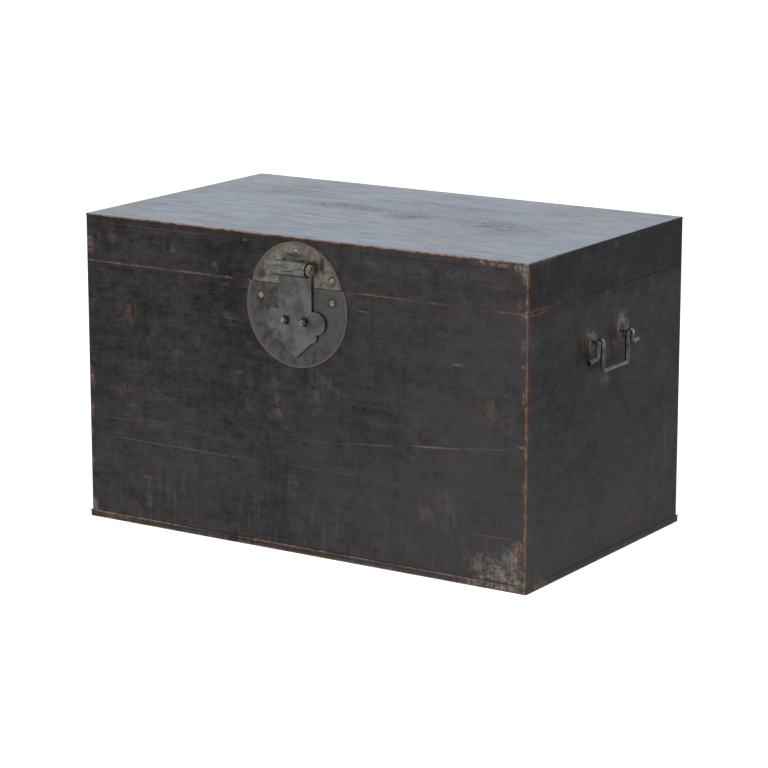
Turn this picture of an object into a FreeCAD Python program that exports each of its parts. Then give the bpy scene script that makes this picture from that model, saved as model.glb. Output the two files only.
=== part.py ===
import FreeCAD, Part
import math
import os
import re

from Sketcher import Constraint

# A lidded wooden trunk: dovetailed plank case, framed lid, round lock plates with a hasp,
# lock eyes, back hinges and a swinging bail on each end. Millimetres, +Z up, front at -Y.
# The origin is the centre of the underside.
SIZES = {
    # case
    "case_width": 750,
    "case_depth": 446,
    "wall": 14,
    "wall_height": 379.6,
    "base_thickness": 10,
    "base_overhang": 1.8,
    "base_edge_radius": 2.5,
    "front_joint": 115,
    "back_joint": 204,
    "side_joint": 148,
    # lid
    "seam_gap": 0.4,
    "rim_height": 57,
    "rim": 14,
    "top_thickness": 12,
    "top_edge_radius": 3,
    # corner dovetails
    "tail_pitch": 54,
    "tail_height": 24,
    "tail_flare": 2.3,
    # dowels inside the plank joints, and pegs through base and top
    "dowel_width": 5,
    "dowel_length": 36,
    "dowel_pitch": 170,
    "peg_width": 4,
    "peg_length": 32,
    "peg_pitch": 120,
    # round lock plates
    "plate_thickness": 1.2,
    "lower_plate_radius": 85,
    "lower_plate_drop": 32,
    "upper_plate_radius": 77,
    "upper_plate_drop": 15,
    "plate_nail_spread": 60,
    "upper_nail_rise": 12,
    "lower_nail_drop": 19,
    "crown_nail_rise": 50,
    "plate_nail_head": 4.7,
    "crown_nail_head": 2.8,
    "nail_dome": 2.6,
    "nail_crown_share": 0.55,
    "nail_shank": 2.6,
    "nail_point": 0.8,
    "nail_length": 11,
    # hasp, its roll and its pin
    "hasp_axis_rise": 26,
    "hasp_thickness": 3.2,
    "hasp_gap": 0.3,
    "hasp_neck": 55,
    "hasp_roll_radius": 11,
    "hasp_pin_radius": 5,
    "hasp_knuckle": 22,
    "hasp_lobe_radius": 16.5,
    "hasp_lobe_spread": 34,
    "hasp_lobe_drop": 76.5,
    "hasp_bud_radius": 8.5,
    "hasp_bud_drop": 97,
    "hasp_point_drop": 105,
    "hasp_length": 129,
    "hasp_point_width": 1.2,
    "hasp_head_radius": 8.5,
    "hasp_head_length": 8,
    "slot_width": 9,
    "slot_height": 13,
    # lock eyes
    "eye_spread": 16,
    "eye_drop": 76,
    "eye_proud": 8.5,
    "eye_radius": 5.5,
    "eye_bore": 3,
    "eye_width": 5,
    "leg_thickness": 2,
    "clinch": 15,
    # end bails and the eyes that carry them
    "bail_height": 321,
    "bail_proud": 12,
    "bail_bar_width": 6.4,
    "bail_leg_spread": 35.5,
    "bail_drop": 41,
    "bail_tail_spread": 50.5,
    "bail_tail_drop": 17,
    "bail_tail_reach": 20,
    "bail_tail_back": 4.5,
    "bail_eye_spread": 43,
    "bail_eye_radius": 7.4,
    "bail_eye_bore": 4.4,
    "bail_eye_width": 5,
    # back hinges
    "hinge_inset": 140,
    "hinge_width": 56,
    "hinge_leaf_height": 42,
    "hinge_leaf_thickness": 1.5,
    "hinge_roll_radius": 5,
    "hinge_roll_gap": 0.3,
    "hinge_pin_radius": 2.6,
    "hinge_pin_head": 4.2,
    "hinge_pin_head_height": 1.6,
    "hinge_knuckle": 20,
    "hinge_corner_radius": 8,
    "hinge_nail_head": 3.6,
    "hinge_nail_spread": 19,
    "hinge_nail_near": 14,
    "hinge_nail_far": 33,
    # fits
    "running_clearance": 0.06,
    "side_clearance": 0.3,
    "swing_clearance": 0.5,
}

# Flats round a hammered bar, and round a hammered head, ring or bore.
BAR_FLATS = 8
ROUND_FLATS = 12

AXIS_TURNS = {
    "x": FreeCAD.Rotation(FreeCAD.Vector(0, 1, 0), 90),
    "y": FreeCAD.Rotation(FreeCAD.Vector(1, 0, 0), -90),
    "z": FreeCAD.Rotation(),
}

# Planes that several pieces share, as sheet formulas.
LEFT, RIGHT = "-case_width / 2", "case_width / 2"
FRONT, BACK = "-case_depth / 2", "case_depth / 2"
CASE_TOP = "base_thickness + wall_height"
SEAM = f"{CASE_TOP} + seam_gap"
LID_BODY = f"{SEAM} + rim_height"
LID_TOP = f"{LID_BODY} + top_thickness"
HASP_AXIS_Z = f"{SEAM} + hasp_axis_rise"
HASP_AXIS_Y = f"{FRONT} - plate_thickness - hasp_gap - hasp_roll_radius"
HASP_BACK_Y = f"{FRONT} - plate_thickness - hasp_gap"
HASP_FACE_Y = f"{HASP_BACK_Y} - hasp_thickness"
EYE_Z = f"{HASP_AXIS_Z} - eye_drop"
HINGE_AXIS_Y = f"{BACK} + hinge_roll_gap + hinge_roll_radius"
HINGE_AXIS_Z = f"{CASE_TOP} + seam_gap / 2"
HINGE_X = "(case_width / 2 - hinge_inset)"

doc = FreeCAD.newDocument("Trunk")
sheet = doc.addObject("Spreadsheet::Sheet", "Sizes")
for row, (alias, figure) in enumerate(SIZES.items(), start=1):
    sheet.set(f"A{row}", alias)
    sheet.set(f"B{row}", str(figure))
    sheet.setAlias(f"B{row}", alias)
doc.recompute()

nodes = []


def size(alias):
    """The number in the sheet's cell of that name."""
    return float(sheet.get(alias))


def bind(piece, prop, text):
    """Ties a property to a sheet formula in which every word is a cell of the sheet."""
    piece.setExpression(prop, re.sub(r"[a-z]\w*", lambda word: "Sizes." + word.group(), text))


def put(piece, x, y, z, rotation=FreeCAD.Rotation()):
    """Turns a piece and ties its position to three sheet formulas."""
    piece.Placement = FreeCAD.Placement(FreeCAD.Vector(), rotation)
    for axis, text in zip("xyz", (x, y, z)):
        bind(piece, f".Placement.Base.{axis}", text)
    return piece


def node(label, piece):
    """Names a finished sub-part and lists it for export."""
    piece.Label = label
    nodes.append(piece)
    return piece


def box(name, x, y, z):
    """A box between three (low, high) pairs of sheet formulas."""
    piece = doc.addObject("Part::Box", name)
    for prop, (low, high) in zip(("Length", "Width", "Height"), (x, y, z)):
        bind(piece, prop, f"({high}) - ({low})")
    return put(piece, x[0], y[0], z[0])


def rod(name, radius, axis, low, high, across):
    """A cylinder along one axis, from low to high, at two positions across it."""
    piece = doc.addObject("Part::Cylinder", name)
    bind(piece, "Radius", radius)
    bind(piece, "Height", f"({high}) - ({low})")
    start = list(across)
    start.insert("xyz".index(axis), low)
    return put(piece, *start, AXIS_TURNS[axis])


def compound(name, pieces):
    """One object that holds the pieces side by side."""
    group = doc.addObject("Part::Compound", name)
    group.Links = pieces
    return group


def fuse(name, pieces):
    """One solid from pieces that overlap or share faces."""
    piece = doc.addObject("Part::MultiFuse", name)
    piece.Shapes = pieces
    piece.Refine = True
    return piece


def cut(name, base, tools):
    """The base less every tool."""
    piece = doc.addObject("Part::Cut", name)
    piece.Base = base
    piece.Tool = tools[0] if len(tools) == 1 else compound(name + "_tools", tools)
    piece.Refine = True
    return piece


def copies(name, master, places):
    """A group of separate solids: the master shape moved and turned to each place."""
    doc.recompute()
    group = doc.addObject("Part::Feature", name)
    shapes = []
    for place in places:
        shape = master.Shape.copy()
        shape.Placement = place.multiply(shape.Placement)
        shapes.append(shape)
    group.Shape = Part.makeCompound(shapes)
    return group


def origin_plane(body, role):
    """One of the body's own origin planes."""
    return next(plane for plane in body.Origin.OriginFeatures if plane.Role == role)


def taper(name, wide, narrow, length):
    """A square bar that narrows evenly along +Y, centred on the Y axis."""
    piece = doc.addObject("Part::Wedge", name)
    piece.Ymin = 0
    bind(piece, "Ymax", length)
    for low, high, width in (
        ("Xmin", "Xmax", wide),
        ("Zmin", "Zmax", wide),
        ("X2min", "X2max", narrow),
        ("Z2min", "Z2max", narrow),
    ):
        bind(piece, low, f"-({width}) / 2")
        bind(piece, high, f"({width}) / 2")
    return piece


def round_head(name, radius):
    """A nail head like a low dome with a flat crown and many flats, standing out to -Y."""
    rings = []
    for part, ring_radius, height in (
        ("rim", radius, "0"),
        ("crown", f"{radius} * nail_crown_share", "nail_dome"),
    ):
        ring = doc.addObject("Part::RegularPolygon", f"{name}_{part}")
        ring.Polygon = ROUND_FLATS
        bind(ring, "Circumradius", ring_radius)
        rings.append(put(ring, "0", "0", height))
    head = doc.addObject("Part::Loft", name)
    head.Sections = rings
    head.Solid = True
    head.Ruled = True
    return put(head, "0", "0", "0", FreeCAD.Rotation(FreeCAD.Vector(1, 0, 0), 90))


def square_head(name, radius):
    """A hammered four-sided nail head, standing out to -Y."""
    wide, narrow = f"2 * {radius}", f"2 * {radius} * nail_crown_share"
    head = taper(name, wide, narrow, "nail_dome")
    return put(head, "0", "0", "0", FreeCAD.Rotation(FreeCAD.Vector(1, 0, 0), 180))


def nail(name, radius, make_head):
    """A forged nail: its head stands out to -Y, and its square shank narrows to a point at +Y."""
    shank = taper(f"{name}_shank", "nail_shank", "nail_point", "nail_length")
    return fuse(name, [make_head(f"{name}_head", radius), shank])


def at(x, y, z, turn=0):
    """A placement turned about Z by an angle in degrees."""
    rotation = FreeCAD.Rotation(FreeCAD.Vector(0, 0, 1), turn)
    return FreeCAD.Placement(FreeCAD.Vector(x, y, z), rotation)


def spread(half, pitch):
    """Places from -half to +half, evenly spaced at about the pitch."""
    count = max(2, round(2 * half / pitch) + 1)
    return [-half + 2 * half * index / (count - 1) for index in range(count)]


def spread_off_centre(half, pitch):
    """Places from -half to +half at about the pitch, an even number, so that none is at 0."""
    pairs = max(1, round(half / pitch + 0.5))
    step = 2 * half / (2 * pairs - 1)
    return [-half + step * index for index in range(2 * pairs)]


def number(text):
    """The value of a sheet formula, read from the sheet."""
    probe = doc.addObject("Part::Box", "Probe")
    bind(probe, ".Placement.Base.x", text)
    doc.recompute()
    value = probe.Placement.Base.x
    doc.removeObject(probe.Name)
    return value


# Pieces of wood


def tails(name, thickness, wall_y, low, high):
    """Dovetails at both ends of a front or back board, in (left, right) lists."""
    room = number(f"({high}) - ({low})")
    count = max(1, round(room / size("tail_pitch")))
    ends = ([], [])
    for index in range(count):
        middle = f"({low}) + (({high}) - ({low})) * {(index + 0.5) / count}"
        for side, turn, x, y in (
            (0, 90, f"{LEFT} + {thickness}", wall_y),
            (1, -90, f"{RIGHT} - {thickness}", f"{wall_y} + {thickness}"),
        ):
            tail = doc.addObject("Part::Wedge", f"{name}_tail")
            for prop in ("Xmin", "X2min", "Ymin"):
                setattr(tail, prop, 0)
            for prop in ("Xmax", "X2max", "Ymax"):
                bind(tail, prop, thickness)
            for prop, text in (
                ("Zmin", "-tail_height / 2"),
                ("Zmax", "tail_height / 2"),
                ("Z2min", "-tail_height / 2 - tail_flare"),
                ("Z2max", "tail_height / 2 + tail_flare"),
            ):
                bind(tail, prop, text)
            put(tail, x, y, middle, FreeCAD.Rotation(FreeCAD.Vector(0, 0, 1), turn))
            ends[side].append(tail)
    return ends


def long_board(name, thickness, wall_y, low, high):
    """A front or back board with its tails. Returns the board and its tails."""
    ends = tails(name, thickness, wall_y, low, high)
    middle = box(
        f"{name}_middle",
        (f"{LEFT} + {thickness}", f"{RIGHT} - {thickness}"),
        (wall_y, f"{wall_y} + {thickness}"),
        (low, high),
    )
    return fuse(f"{name}_board", [middle, *ends[0], *ends[1]]), ends


def end_board(name, thickness, side, low, high, sockets):
    """A left or right board, cut to receive the tails of front and back."""
    x = (LEFT, f"{LEFT} + {thickness}") if side == 0 else (f"{RIGHT} - {thickness}", RIGHT)
    whole = box(f"{name}_whole", x, (FRONT, BACK), (low, high))
    return cut(f"{name}_board", whole, sockets)


def panel(name, x, y, z, radius, rounds):
    """A flat board whose chosen edges are rounded."""
    body = doc.addObject("PartDesign::Body", name + "_panel")
    block = body.newObject("PartDesign::AdditiveBox", name + "_block")
    for prop, (low, high) in zip(("Length", "Width", "Height"), (x, y, z)):
        bind(block, prop, f"({high}) - ({low})")
    doc.recompute()
    rounding = body.newObject("PartDesign::Fillet", name + "_rounding")
    chosen = [f"Edge{index}" for index, edge in enumerate(block.Shape.Edges, 1) if rounds(edge)]
    rounding.Base = (block, chosen)
    bind(rounding, "Radius", radius)
    body.Tip = rounding
    return put(body, x[0], y[0], z[0])


def top_edge(edge):
    """True for an edge that lies in the upper face of a block."""
    return edge.BoundBox.ZMin > 0


def square_pin(width, length, x, y, foot):
    """A square wooden pin that stands upright on a point."""
    corner = FreeCAD.Vector(x - width / 2, y - width / 2, foot)
    return Part.makeBox(width, width, length, corner)


def pegs_along_walls(name, thickness, top):
    """Square pegs driven straight down from the top, or up where top is False, into the walls."""
    width, length = size("peg_width"), size("peg_length")
    across = size("case_width") / 2 - size(thickness) / 2
    deep = size("case_depth") / 2 - size(thickness) / 2
    height = number(LID_TOP) - length if top else 0
    pitch = size("peg_pitch")
    inset = pitch / 2
    spots = [(x, y) for x in spread_off_centre(across - inset, pitch) for y in (-deep, deep)]
    spots += [(x, y) for y in spread(deep - inset, pitch) for x in (-across, across)]
    pegs = [square_pin(width, length, x, y, height) for x, y in spots]
    group = doc.addObject("Part::Feature", name)
    group.Shape = Part.makeCompound(pegs)
    return group


def joint_dowels(name):
    """Dowels that cross each wall's plank joint, half in the lower plank and half in the upper."""
    width, length, base = size("dowel_width"), size("dowel_length"), size("base_thickness")
    across = size("case_width") / 2 - size("wall") / 2
    deep = size("case_depth") / 2 - size("wall") / 2
    pitch = size("dowel_pitch")
    spots = [(x, -deep, size("front_joint")) for x in spread(across - pitch / 2, pitch)]
    spots += [(x, deep, size("back_joint")) for x in spread(across - pitch / 2, pitch)]
    for side in (-across, across):
        spots += [(side, y, size("side_joint")) for y in spread(deep - pitch / 2, pitch)]
    pins = [square_pin(width, length, x, y, base + joint - length / 2) for x, y, joint in spots]
    group = doc.addObject("Part::Feature", name)
    group.Shape = Part.makeCompound(pins)
    return group


# Pieces of metal


def round_plate(name, radius, drop, keeps_lower_part):
    """A thin disc cut off along a level chord, with the disc's centre below that chord."""
    body = doc.addObject("PartDesign::Body", name + "_disc")
    sketch = body.newObject("Sketcher::SketchObject", name + "_outline")
    sketch.AttachmentSupport = [(origin_plane(body, "XZ_Plane"), "")]
    sketch.MapMode = "FlatFace"
    reach, below = size(radius), size(drop)
    corner = math.asin(below / reach)
    first, last = corner, math.pi - corner
    if keeps_lower_part:
        first, last = last, corner + 2 * math.pi
    centre = FreeCAD.Vector(0, -below)
    half = reach * math.cos(corner)
    circle = Part.Circle(centre, FreeCAD.Vector(0, 0, 1), reach)
    arc = sketch.addGeometry(Part.ArcOfCircle(circle, first, last))
    start, end = (-half, half) if keeps_lower_part else (half, -half)
    chord = sketch.addGeometry(Part.LineSegment(FreeCAD.Vector(end, 0), FreeCAD.Vector(start, 0)))
    sketch.addConstraint(Constraint("Coincident", arc, 2, chord, 1))
    sketch.addConstraint(Constraint("Coincident", chord, 2, arc, 1))
    sketch.addConstraint(Constraint("PointOnObject", arc, 3, -2))
    sketch.addConstraint(Constraint("PointOnObject", chord, 1, -1))
    sketch.addConstraint(Constraint("Horizontal", chord))
    radius_rule = sketch.addConstraint(Constraint("Radius", arc, reach))
    drop_rule = sketch.addConstraint(Constraint("DistanceY", arc, 3, -1, 1, below))
    bind(sketch, f"Constraints[{radius_rule}]", radius)
    bind(sketch, f"Constraints[{drop_rule}]", drop)
    pad = body.newObject("PartDesign::Pad", name + "_sheet")
    pad.Profile = sketch
    bind(pad, "Length", "plate_thickness")
    return body


def flat_sided_rod(name, radius, low, high, axis):
    """A bar along X with many flats, centred at axis (y, z), with the radius across its flats."""
    piece = doc.addObject("Part::Prism", name)
    piece.Polygon = ROUND_FLATS
    half_side = 180 / ROUND_FLATS
    bind(piece, "Circumradius", f"({radius}) / {math.cos(math.radians(half_side))}")
    bind(piece, "Height", f"({high}) - ({low})")
    turn = AXIS_TURNS["x"].multiply(FreeCAD.Rotation(FreeCAD.Vector(0, 0, 1), half_side))
    return put(piece, low, *axis, turn)


def cotter(name, radius, bore, width, proud, hammered):
    """A strip folded round an eye, its two legs through the wall and clinched behind it.
    The eye's bore lies along X, the outer face of the wall at y = 0, the inside at +Y.
    A hammered eye has flats, and any other is round."""
    half = f"{width} / 2"
    inside, axis = "wall", (f"-{proud}", "0")
    if hammered:
        ring = flat_sided_rod(f"{name}_ring", radius, f"-{half}", half, axis)
        hole = flat_sided_rod(f"{name}_hole", bore, f"-{width}", width, axis)
    else:
        ring = rod(f"{name}_ring", radius, "x", f"-{half}", half, axis)
        hole = rod(f"{name}_hole", bore, "x", f"-{width}", width, axis)
    legs = box(
        f"{name}_legs",
        (f"-{half}", half),
        (f"-{proud}", f"{inside} + leg_thickness"),
        ("-leg_thickness", "leg_thickness"),
    )
    tails_behind = box(
        f"{name}_clinch",
        (f"-{half}", half),
        (inside, f"{inside} + leg_thickness"),
        ("-leg_thickness - clinch", "leg_thickness + clinch"),
    )
    return cut(name, fuse(f"{name}_strip", [ring, legs, tails_behind]), [hole])


def forged_bar(points, width):
    """An eight-sided bar, as wide across its flats as given, with a sharp turn at each point."""
    path = Part.makePolygon(points)
    start, way = points[0], (points[1] - points[0]).normalize()
    across = way.cross(FreeCAD.Vector(0, 0, 1)).normalize()
    half_side = 180 / BAR_FLATS
    corner = across * (width / 2 / math.cos(math.radians(half_side)))
    ring = []
    for index in range(BAR_FLATS + 1):
        turn = FreeCAD.Rotation(way, half_side * (2 * index + 1))
        ring.append(start + turn.multVec(corner))
    return path.makePipeShell([Part.makePolygon(ring)], True, False, 1)


def bail(name, side):
    """A swinging handle: a U of forged bar whose ends pass through the eyes, drop and turn out."""
    leg, drop = size("bail_leg_spread"), size("bail_drop")
    tail, tail_drop = size("bail_tail_spread"), size("bail_tail_drop")
    reach, back = size("bail_tail_reach"), size("bail_tail_back")
    half = [
        FreeCAD.Vector(-side * back, tail + reach, -tail_drop),
        FreeCAD.Vector(0, tail, -tail_drop),
        FreeCAD.Vector(0, tail, 0),
        FreeCAD.Vector(0, leg, 0),
        FreeCAD.Vector(0, leg, -drop),
    ]
    other = [FreeCAD.Vector(point.x, -point.y, point.z) for point in reversed(half)]
    piece = doc.addObject("Part::Feature", name)
    piece.Shape = forged_bar(half + other, size("bail_bar_width"))
    proud = "case_width / 2 + bail_proud"
    return put(piece, proud if side > 0 else f"-({proud})", "0", "bail_height")


def hinge_leaf(name, side, on_lid, nails):
    """A back hinge leaf. The lid's leaf owns the middle knuckle, the case's leaf the outer two."""
    centre = f"{side} * {HINGE_X}"
    half, knuckle = "hinge_width / 2", "hinge_knuckle / 2"
    outer = (f"{centre} - {half}", f"{centre} + {half}")
    y = (BACK, f"{BACK} + hinge_leaf_thickness")
    far = f"{HINGE_AXIS_Z} + hinge_leaf_height" if on_lid else f"{HINGE_AXIS_Z} - hinge_leaf_height"
    z = (HINGE_AXIS_Z, far) if on_lid else (far, HINGE_AXIS_Z)
    inner = "hinge_corner_radius"
    step = f"{far} - {inner}" if on_lid else f"{far} + {inner}"
    flat_z = (z[0], step) if on_lid else (step, z[1])
    pieces = [
        box(f"{name}_flat", outer, y, flat_z),
        box(f"{name}_end", (f"{outer[0]} + {inner}", f"{outer[1]} - {inner}"), y, z),
    ]
    for place in (f"{outer[0]} + {inner}", f"{outer[1]} - {inner}"):
        pieces.append(rod(f"{name}_corner", inner, "y", *y, (place, step)))
    gap = "side_clearance"
    middle = (f"{centre} - {knuckle}", f"{centre} + {knuckle}")
    left = (outer[0], f"{middle[0]} - {gap}")
    right = (f"{middle[1]} + {gap}", outer[1])
    axis = (HINGE_AXIS_Y, HINGE_AXIS_Z)
    own, other = ([middle], [left, right]) if on_lid else ([left, right], [middle])
    for span in own:
        pieces.append(rod(f"{name}_knuckle", "hinge_roll_radius", "x", *span, axis))
    clear = "(hinge_roll_radius + swing_clearance)"
    notch_y = (f"{BACK} - {gap}", f"{HINGE_AXIS_Y} + {clear}")
    notch_z = (f"{HINGE_AXIS_Z} - {clear}", f"{HINGE_AXIS_Z} + {clear}")
    tools = []
    for low, high in other:
        span = (f"{low} - {gap}", f"{high} + {gap}")
        tools.append(box(f"{name}_notch", span, notch_y, notch_z))
    bore = "hinge_pin_radius + running_clearance" if on_lid else "hinge_pin_radius"
    tools.append(rod(f"{name}_bore", bore, "x", *outer, axis))
    tools.append(nails)
    return cut(name, fuse(f"{name}_form", pieces), tools)


def hinge_pin(name, side):
    """A hinge pin with a small hammered head at each end."""
    centre, half = f"{side} * {HINGE_X}", "hinge_width / 2"
    low, high = f"{centre} - {half}", f"{centre} + {half}"
    axis = (HINGE_AXIS_Y, HINGE_AXIS_Z)
    shank = rod(f"{name}_shank", "hinge_pin_radius", "x", low, high, axis)
    heads = [
        flat_sided_rod(f"{name}_head", "hinge_pin_head", start, end, axis)
        for start, end in (
            (f"{low} - hinge_pin_head_height", low),
            (high, f"{high} + hinge_pin_head_height"),
        )
    ]
    return fuse(name, [shank, *heads])


def hinge_nails(name, master, on_lid):
    """Four nails in each of the two leaves on the lid or on the case."""
    back = size("case_depth") / 2 + size("hinge_leaf_thickness")
    seam, sign = number(HINGE_AXIS_Z), 1 if on_lid else -1
    centre = number(HINGE_X)
    places = [
        at(side * centre + shift * size("hinge_nail_spread"), back, seam + rise, 180)
        for side in (-1, 1)
        for shift in (-1, 1)
        for rise in (sign * size("hinge_nail_near"), sign * size("hinge_nail_far"))
    ]
    return copies(name, master, places)


def hasp_form():
    """The hasp: two rolled knuckles, a straight neck, two lobes, two buds and a point."""
    y = (HASP_FACE_Y, HASP_BACK_Y)
    point_top = f"{HASP_AXIS_Z} - hasp_point_drop"
    neck = box("Hasp_neck", ("-hasp_neck / 2", "hasp_neck / 2"), y, (point_top, HASP_AXIS_Z))
    pieces = [neck]
    for sign in ("-", ""):
        lobe_at = (f"{sign}hasp_lobe_spread", f"{HASP_AXIS_Z} - hasp_lobe_drop")
        bud_at = (f"{sign}hasp_neck / 2", f"{HASP_AXIS_Z} - hasp_bud_drop")
        pieces.append(rod("Hasp_lobe", "hasp_lobe_radius", "y", *y, lobe_at))
        pieces.append(rod("Hasp_bud", "hasp_bud_radius", "y", *y, bud_at))
    point = doc.addObject("Part::Wedge", "Hasp_point")
    point.Ymin = 0
    point.Zmin = 0
    point.Z2min = 0
    for prop, text in (
        ("Xmin", "-hasp_neck / 2"),
        ("Xmax", "hasp_neck / 2"),
        ("X2min", "-hasp_point_width / 2"),
        ("X2max", "hasp_point_width / 2"),
        ("Ymax", "hasp_length - hasp_point_drop"),
        ("Zmax", "hasp_thickness"),
        ("Z2max", "hasp_thickness"),
    ):
        bind(point, prop, text)
    put(point, "0", HASP_FACE_Y, point_top, FreeCAD.Rotation(FreeCAD.Vector(1, 0, 0), -90))
    pieces.append(point)
    axis = (HASP_AXIS_Y, HASP_AXIS_Z)
    near = "hasp_knuckle / 2 + side_clearance"
    for span in (("-hasp_neck / 2", f"-({near})"), (near, "hasp_neck / 2")):
        pieces.append(rod("Hasp_roll", "hasp_roll_radius", "x", *span, axis))
    clear = "hasp_roll_radius + swing_clearance"
    tools = [
        rod("Hasp_relief", clear, "x", f"-({near})", near, axis),
        rod(
            "Hasp_bore",
            "hasp_pin_radius + running_clearance",
            "x",
            "-hasp_neck",
            "hasp_neck",
            axis,
        ),
    ]
    for sign in ("-", ""):
        middle = f"{sign}eye_spread"
        tools.append(
            box(
                "Hasp_slot",
                (f"{middle} - slot_width / 2", f"{middle} + slot_width / 2"),
                (f"{HASP_FACE_Y} - hasp_thickness", f"{HASP_BACK_Y} + hasp_gap"),
                (f"{EYE_Z} - slot_height / 2", f"{EYE_Z} + slot_height / 2"),
            )
        )
    return cut("Hasp", fuse("Hasp_form", pieces), tools)


# Fastenings that other pieces are cut for

plate_nail = nail("Plate_nail", "plate_nail_head", round_head)
crown_nail = nail("Crown_nail", "crown_nail_head", round_head)
hinge_nail = nail("Hinge_nail", "hinge_nail_head", square_head)
plate_face = -size("case_depth") / 2 - size("plate_thickness")
seam_height = number(SEAM)
upper_side_nails = copies(
    "Upper_side_nails",
    plate_nail,
    [
        at(x, plate_face, seam_height + size("upper_nail_rise"))
        for x in (-size("plate_nail_spread"), size("plate_nail_spread"))
    ],
)
upper_crown_nail = copies(
    "Upper_crown_nail",
    crown_nail,
    [at(0, plate_face, seam_height + size("crown_nail_rise"))],
)
upper_plate_nails = compound("Upper_nails", [upper_side_nails, upper_crown_nail])
lower_plate_nails = copies(
    "Lower_nails",
    plate_nail,
    [
        at(x, plate_face, seam_height - size("lower_nail_drop"))
        for x in (-size("plate_nail_spread"), size("plate_nail_spread"))
    ],
)
hinge_case_nails = hinge_nails("Hinge_case_nails", hinge_nail, False)
hinge_lid_nails = hinge_nails("Hinge_lid_nails", hinge_nail, True)
base_pegs = pegs_along_walls("Base_pegs", "wall", False)
top_pegs = pegs_along_walls("Top_pegs", "rim", True)
dowels = joint_dowels("Dowels")

lock_eyes = []
for sign in ("-", ""):
    eye = cotter("Lock_eye", "eye_radius", "eye_bore", "eye_width", "eye_proud", False)
    lock_eyes.append(put(eye, f"{sign}eye_spread", FRONT, EYE_Z))
bail_eyes = {}
for side, face, turn in (("left", LEFT, -90), ("right", RIGHT, 90)):
    for end, y in (("front", "-bail_eye_spread"), ("rear", "bail_eye_spread")):
        eye = cotter(
            "Bail_eye", "bail_eye_radius", "bail_eye_bore", "bail_eye_width", "bail_proud", True
        )
        put(eye, face, y, "bail_height", FreeCAD.Rotation(FreeCAD.Vector(0, 0, 1), turn))
        bail_eyes[f"{side}_bail_eye_{end}"] = eye

# Case

base = panel(
    "Base",
    (f"{LEFT} - base_overhang", f"{RIGHT} + base_overhang"),
    (f"{FRONT} - base_overhang", f"{BACK} + base_overhang"),
    ("0", "base_thickness"),
    "base_edge_radius",
    top_edge,
)
node("base_panel", cut("Base_drilled", base, [base_pegs]))

end_sockets = ([], [])
wall_fasteners = {
    "front": [base_pegs, dowels, *lock_eyes, lower_plate_nails],
    "back": [base_pegs, dowels, hinge_case_nails],
}
for wall_name, wall_y, joint in (
    ("front", FRONT, "front_joint"),
    ("back", f"{BACK} - wall", "back_joint"),
):
    joint_z = f"base_thickness + {joint}"
    for part_name, low, high in (
        ("lower", "base_thickness", joint_z),
        ("upper", joint_z, CASE_TOP),
    ):
        name = f"{wall_name}_plank_{part_name}"
        board, ends = long_board(name, "wall", wall_y, low, high)
        node(name, cut(f"{name}_drilled", board, wall_fasteners[wall_name]))
        for side in (0, 1):
            end_sockets[side].extend(ends[side])
for side, side_name in enumerate(("left", "right")):
    own_eyes = [eye for label, eye in bail_eyes.items() if label.startswith(side_name)]
    joint_z = "base_thickness + side_joint"
    for part_name, low, high in (
        ("lower", "base_thickness", joint_z),
        ("upper", joint_z, CASE_TOP),
    ):
        name = f"{side_name}_plank_{part_name}"
        sockets = end_sockets[side] + [base_pegs, dowels, *own_eyes]
        node(name, end_board(name, "wall", side, low, high, sockets))
node("plank_dowels", dowels)
node("base_pegs", base_pegs)

disc = round_plate("Lower_plate", "lower_plate_radius", "lower_plate_drop", True)
put(disc, "0", FRONT, CASE_TOP)
node("lower_lock_plate", cut("Lower_plate", disc, [lower_plate_nails, *lock_eyes]))
node("lower_plate_nails", lower_plate_nails)
for label, eye in zip(("lock_eye_left", "lock_eye_right"), lock_eyes):
    node(label, eye)
for label, eye in bail_eyes.items():
    node(label, eye)

# Lid

rim_sockets = ([], [])
rim_fasteners = {
    "front": [top_pegs, upper_plate_nails],
    "back": [top_pegs, hinge_lid_nails],
}
for wall_name, wall_y in (("front", FRONT), ("back", f"{BACK} - rim")):
    name = f"lid_{wall_name}_rim"
    board, ends = long_board(name, "rim", wall_y, SEAM, LID_BODY)
    node(name, cut(f"{name}_drilled", board, rim_fasteners[wall_name]))
    for side in (0, 1):
        rim_sockets[side].extend(ends[side])
for side, side_name in enumerate(("left", "right")):
    name = f"lid_{side_name}_rim"
    sockets = rim_sockets[side] + [top_pegs]
    node(name, end_board(name, "rim", side, SEAM, LID_BODY, sockets))
top = panel("Top", (LEFT, RIGHT), (FRONT, BACK), (LID_BODY, LID_TOP), "top_edge_radius", top_edge)
node("lid_top_panel", cut("Top_drilled", top, [top_pegs]))
node("lid_top_pegs", top_pegs)

disc = round_plate("Upper_plate", "upper_plate_radius", "upper_plate_drop", False)
put(disc, "0", FRONT, SEAM)
knuckle_x = ("-hasp_knuckle / 2", "hasp_knuckle / 2")
hasp_axis = (HASP_AXIS_Y, HASP_AXIS_Z)
knuckle = rod("Plate_knuckle", "hasp_roll_radius", "x", *knuckle_x, hasp_axis)
tongue = box(
    "Plate_tongue",
    knuckle_x,
    (HASP_AXIS_Y, f"{FRONT} - plate_thickness"),
    (HASP_AXIS_Z, f"{HASP_AXIS_Z} + hasp_roll_radius"),
)
plate_form = fuse("Upper_plate_form", [disc, knuckle, tongue])
pin_bore = rod("Plate_bore", "hasp_pin_radius", "x", "-hasp_neck", "hasp_neck", hasp_axis)
node("upper_lock_plate", cut("Upper_plate", plate_form, [upper_plate_nails, pin_bore]))
node("upper_plate_nails", upper_plate_nails)

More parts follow.
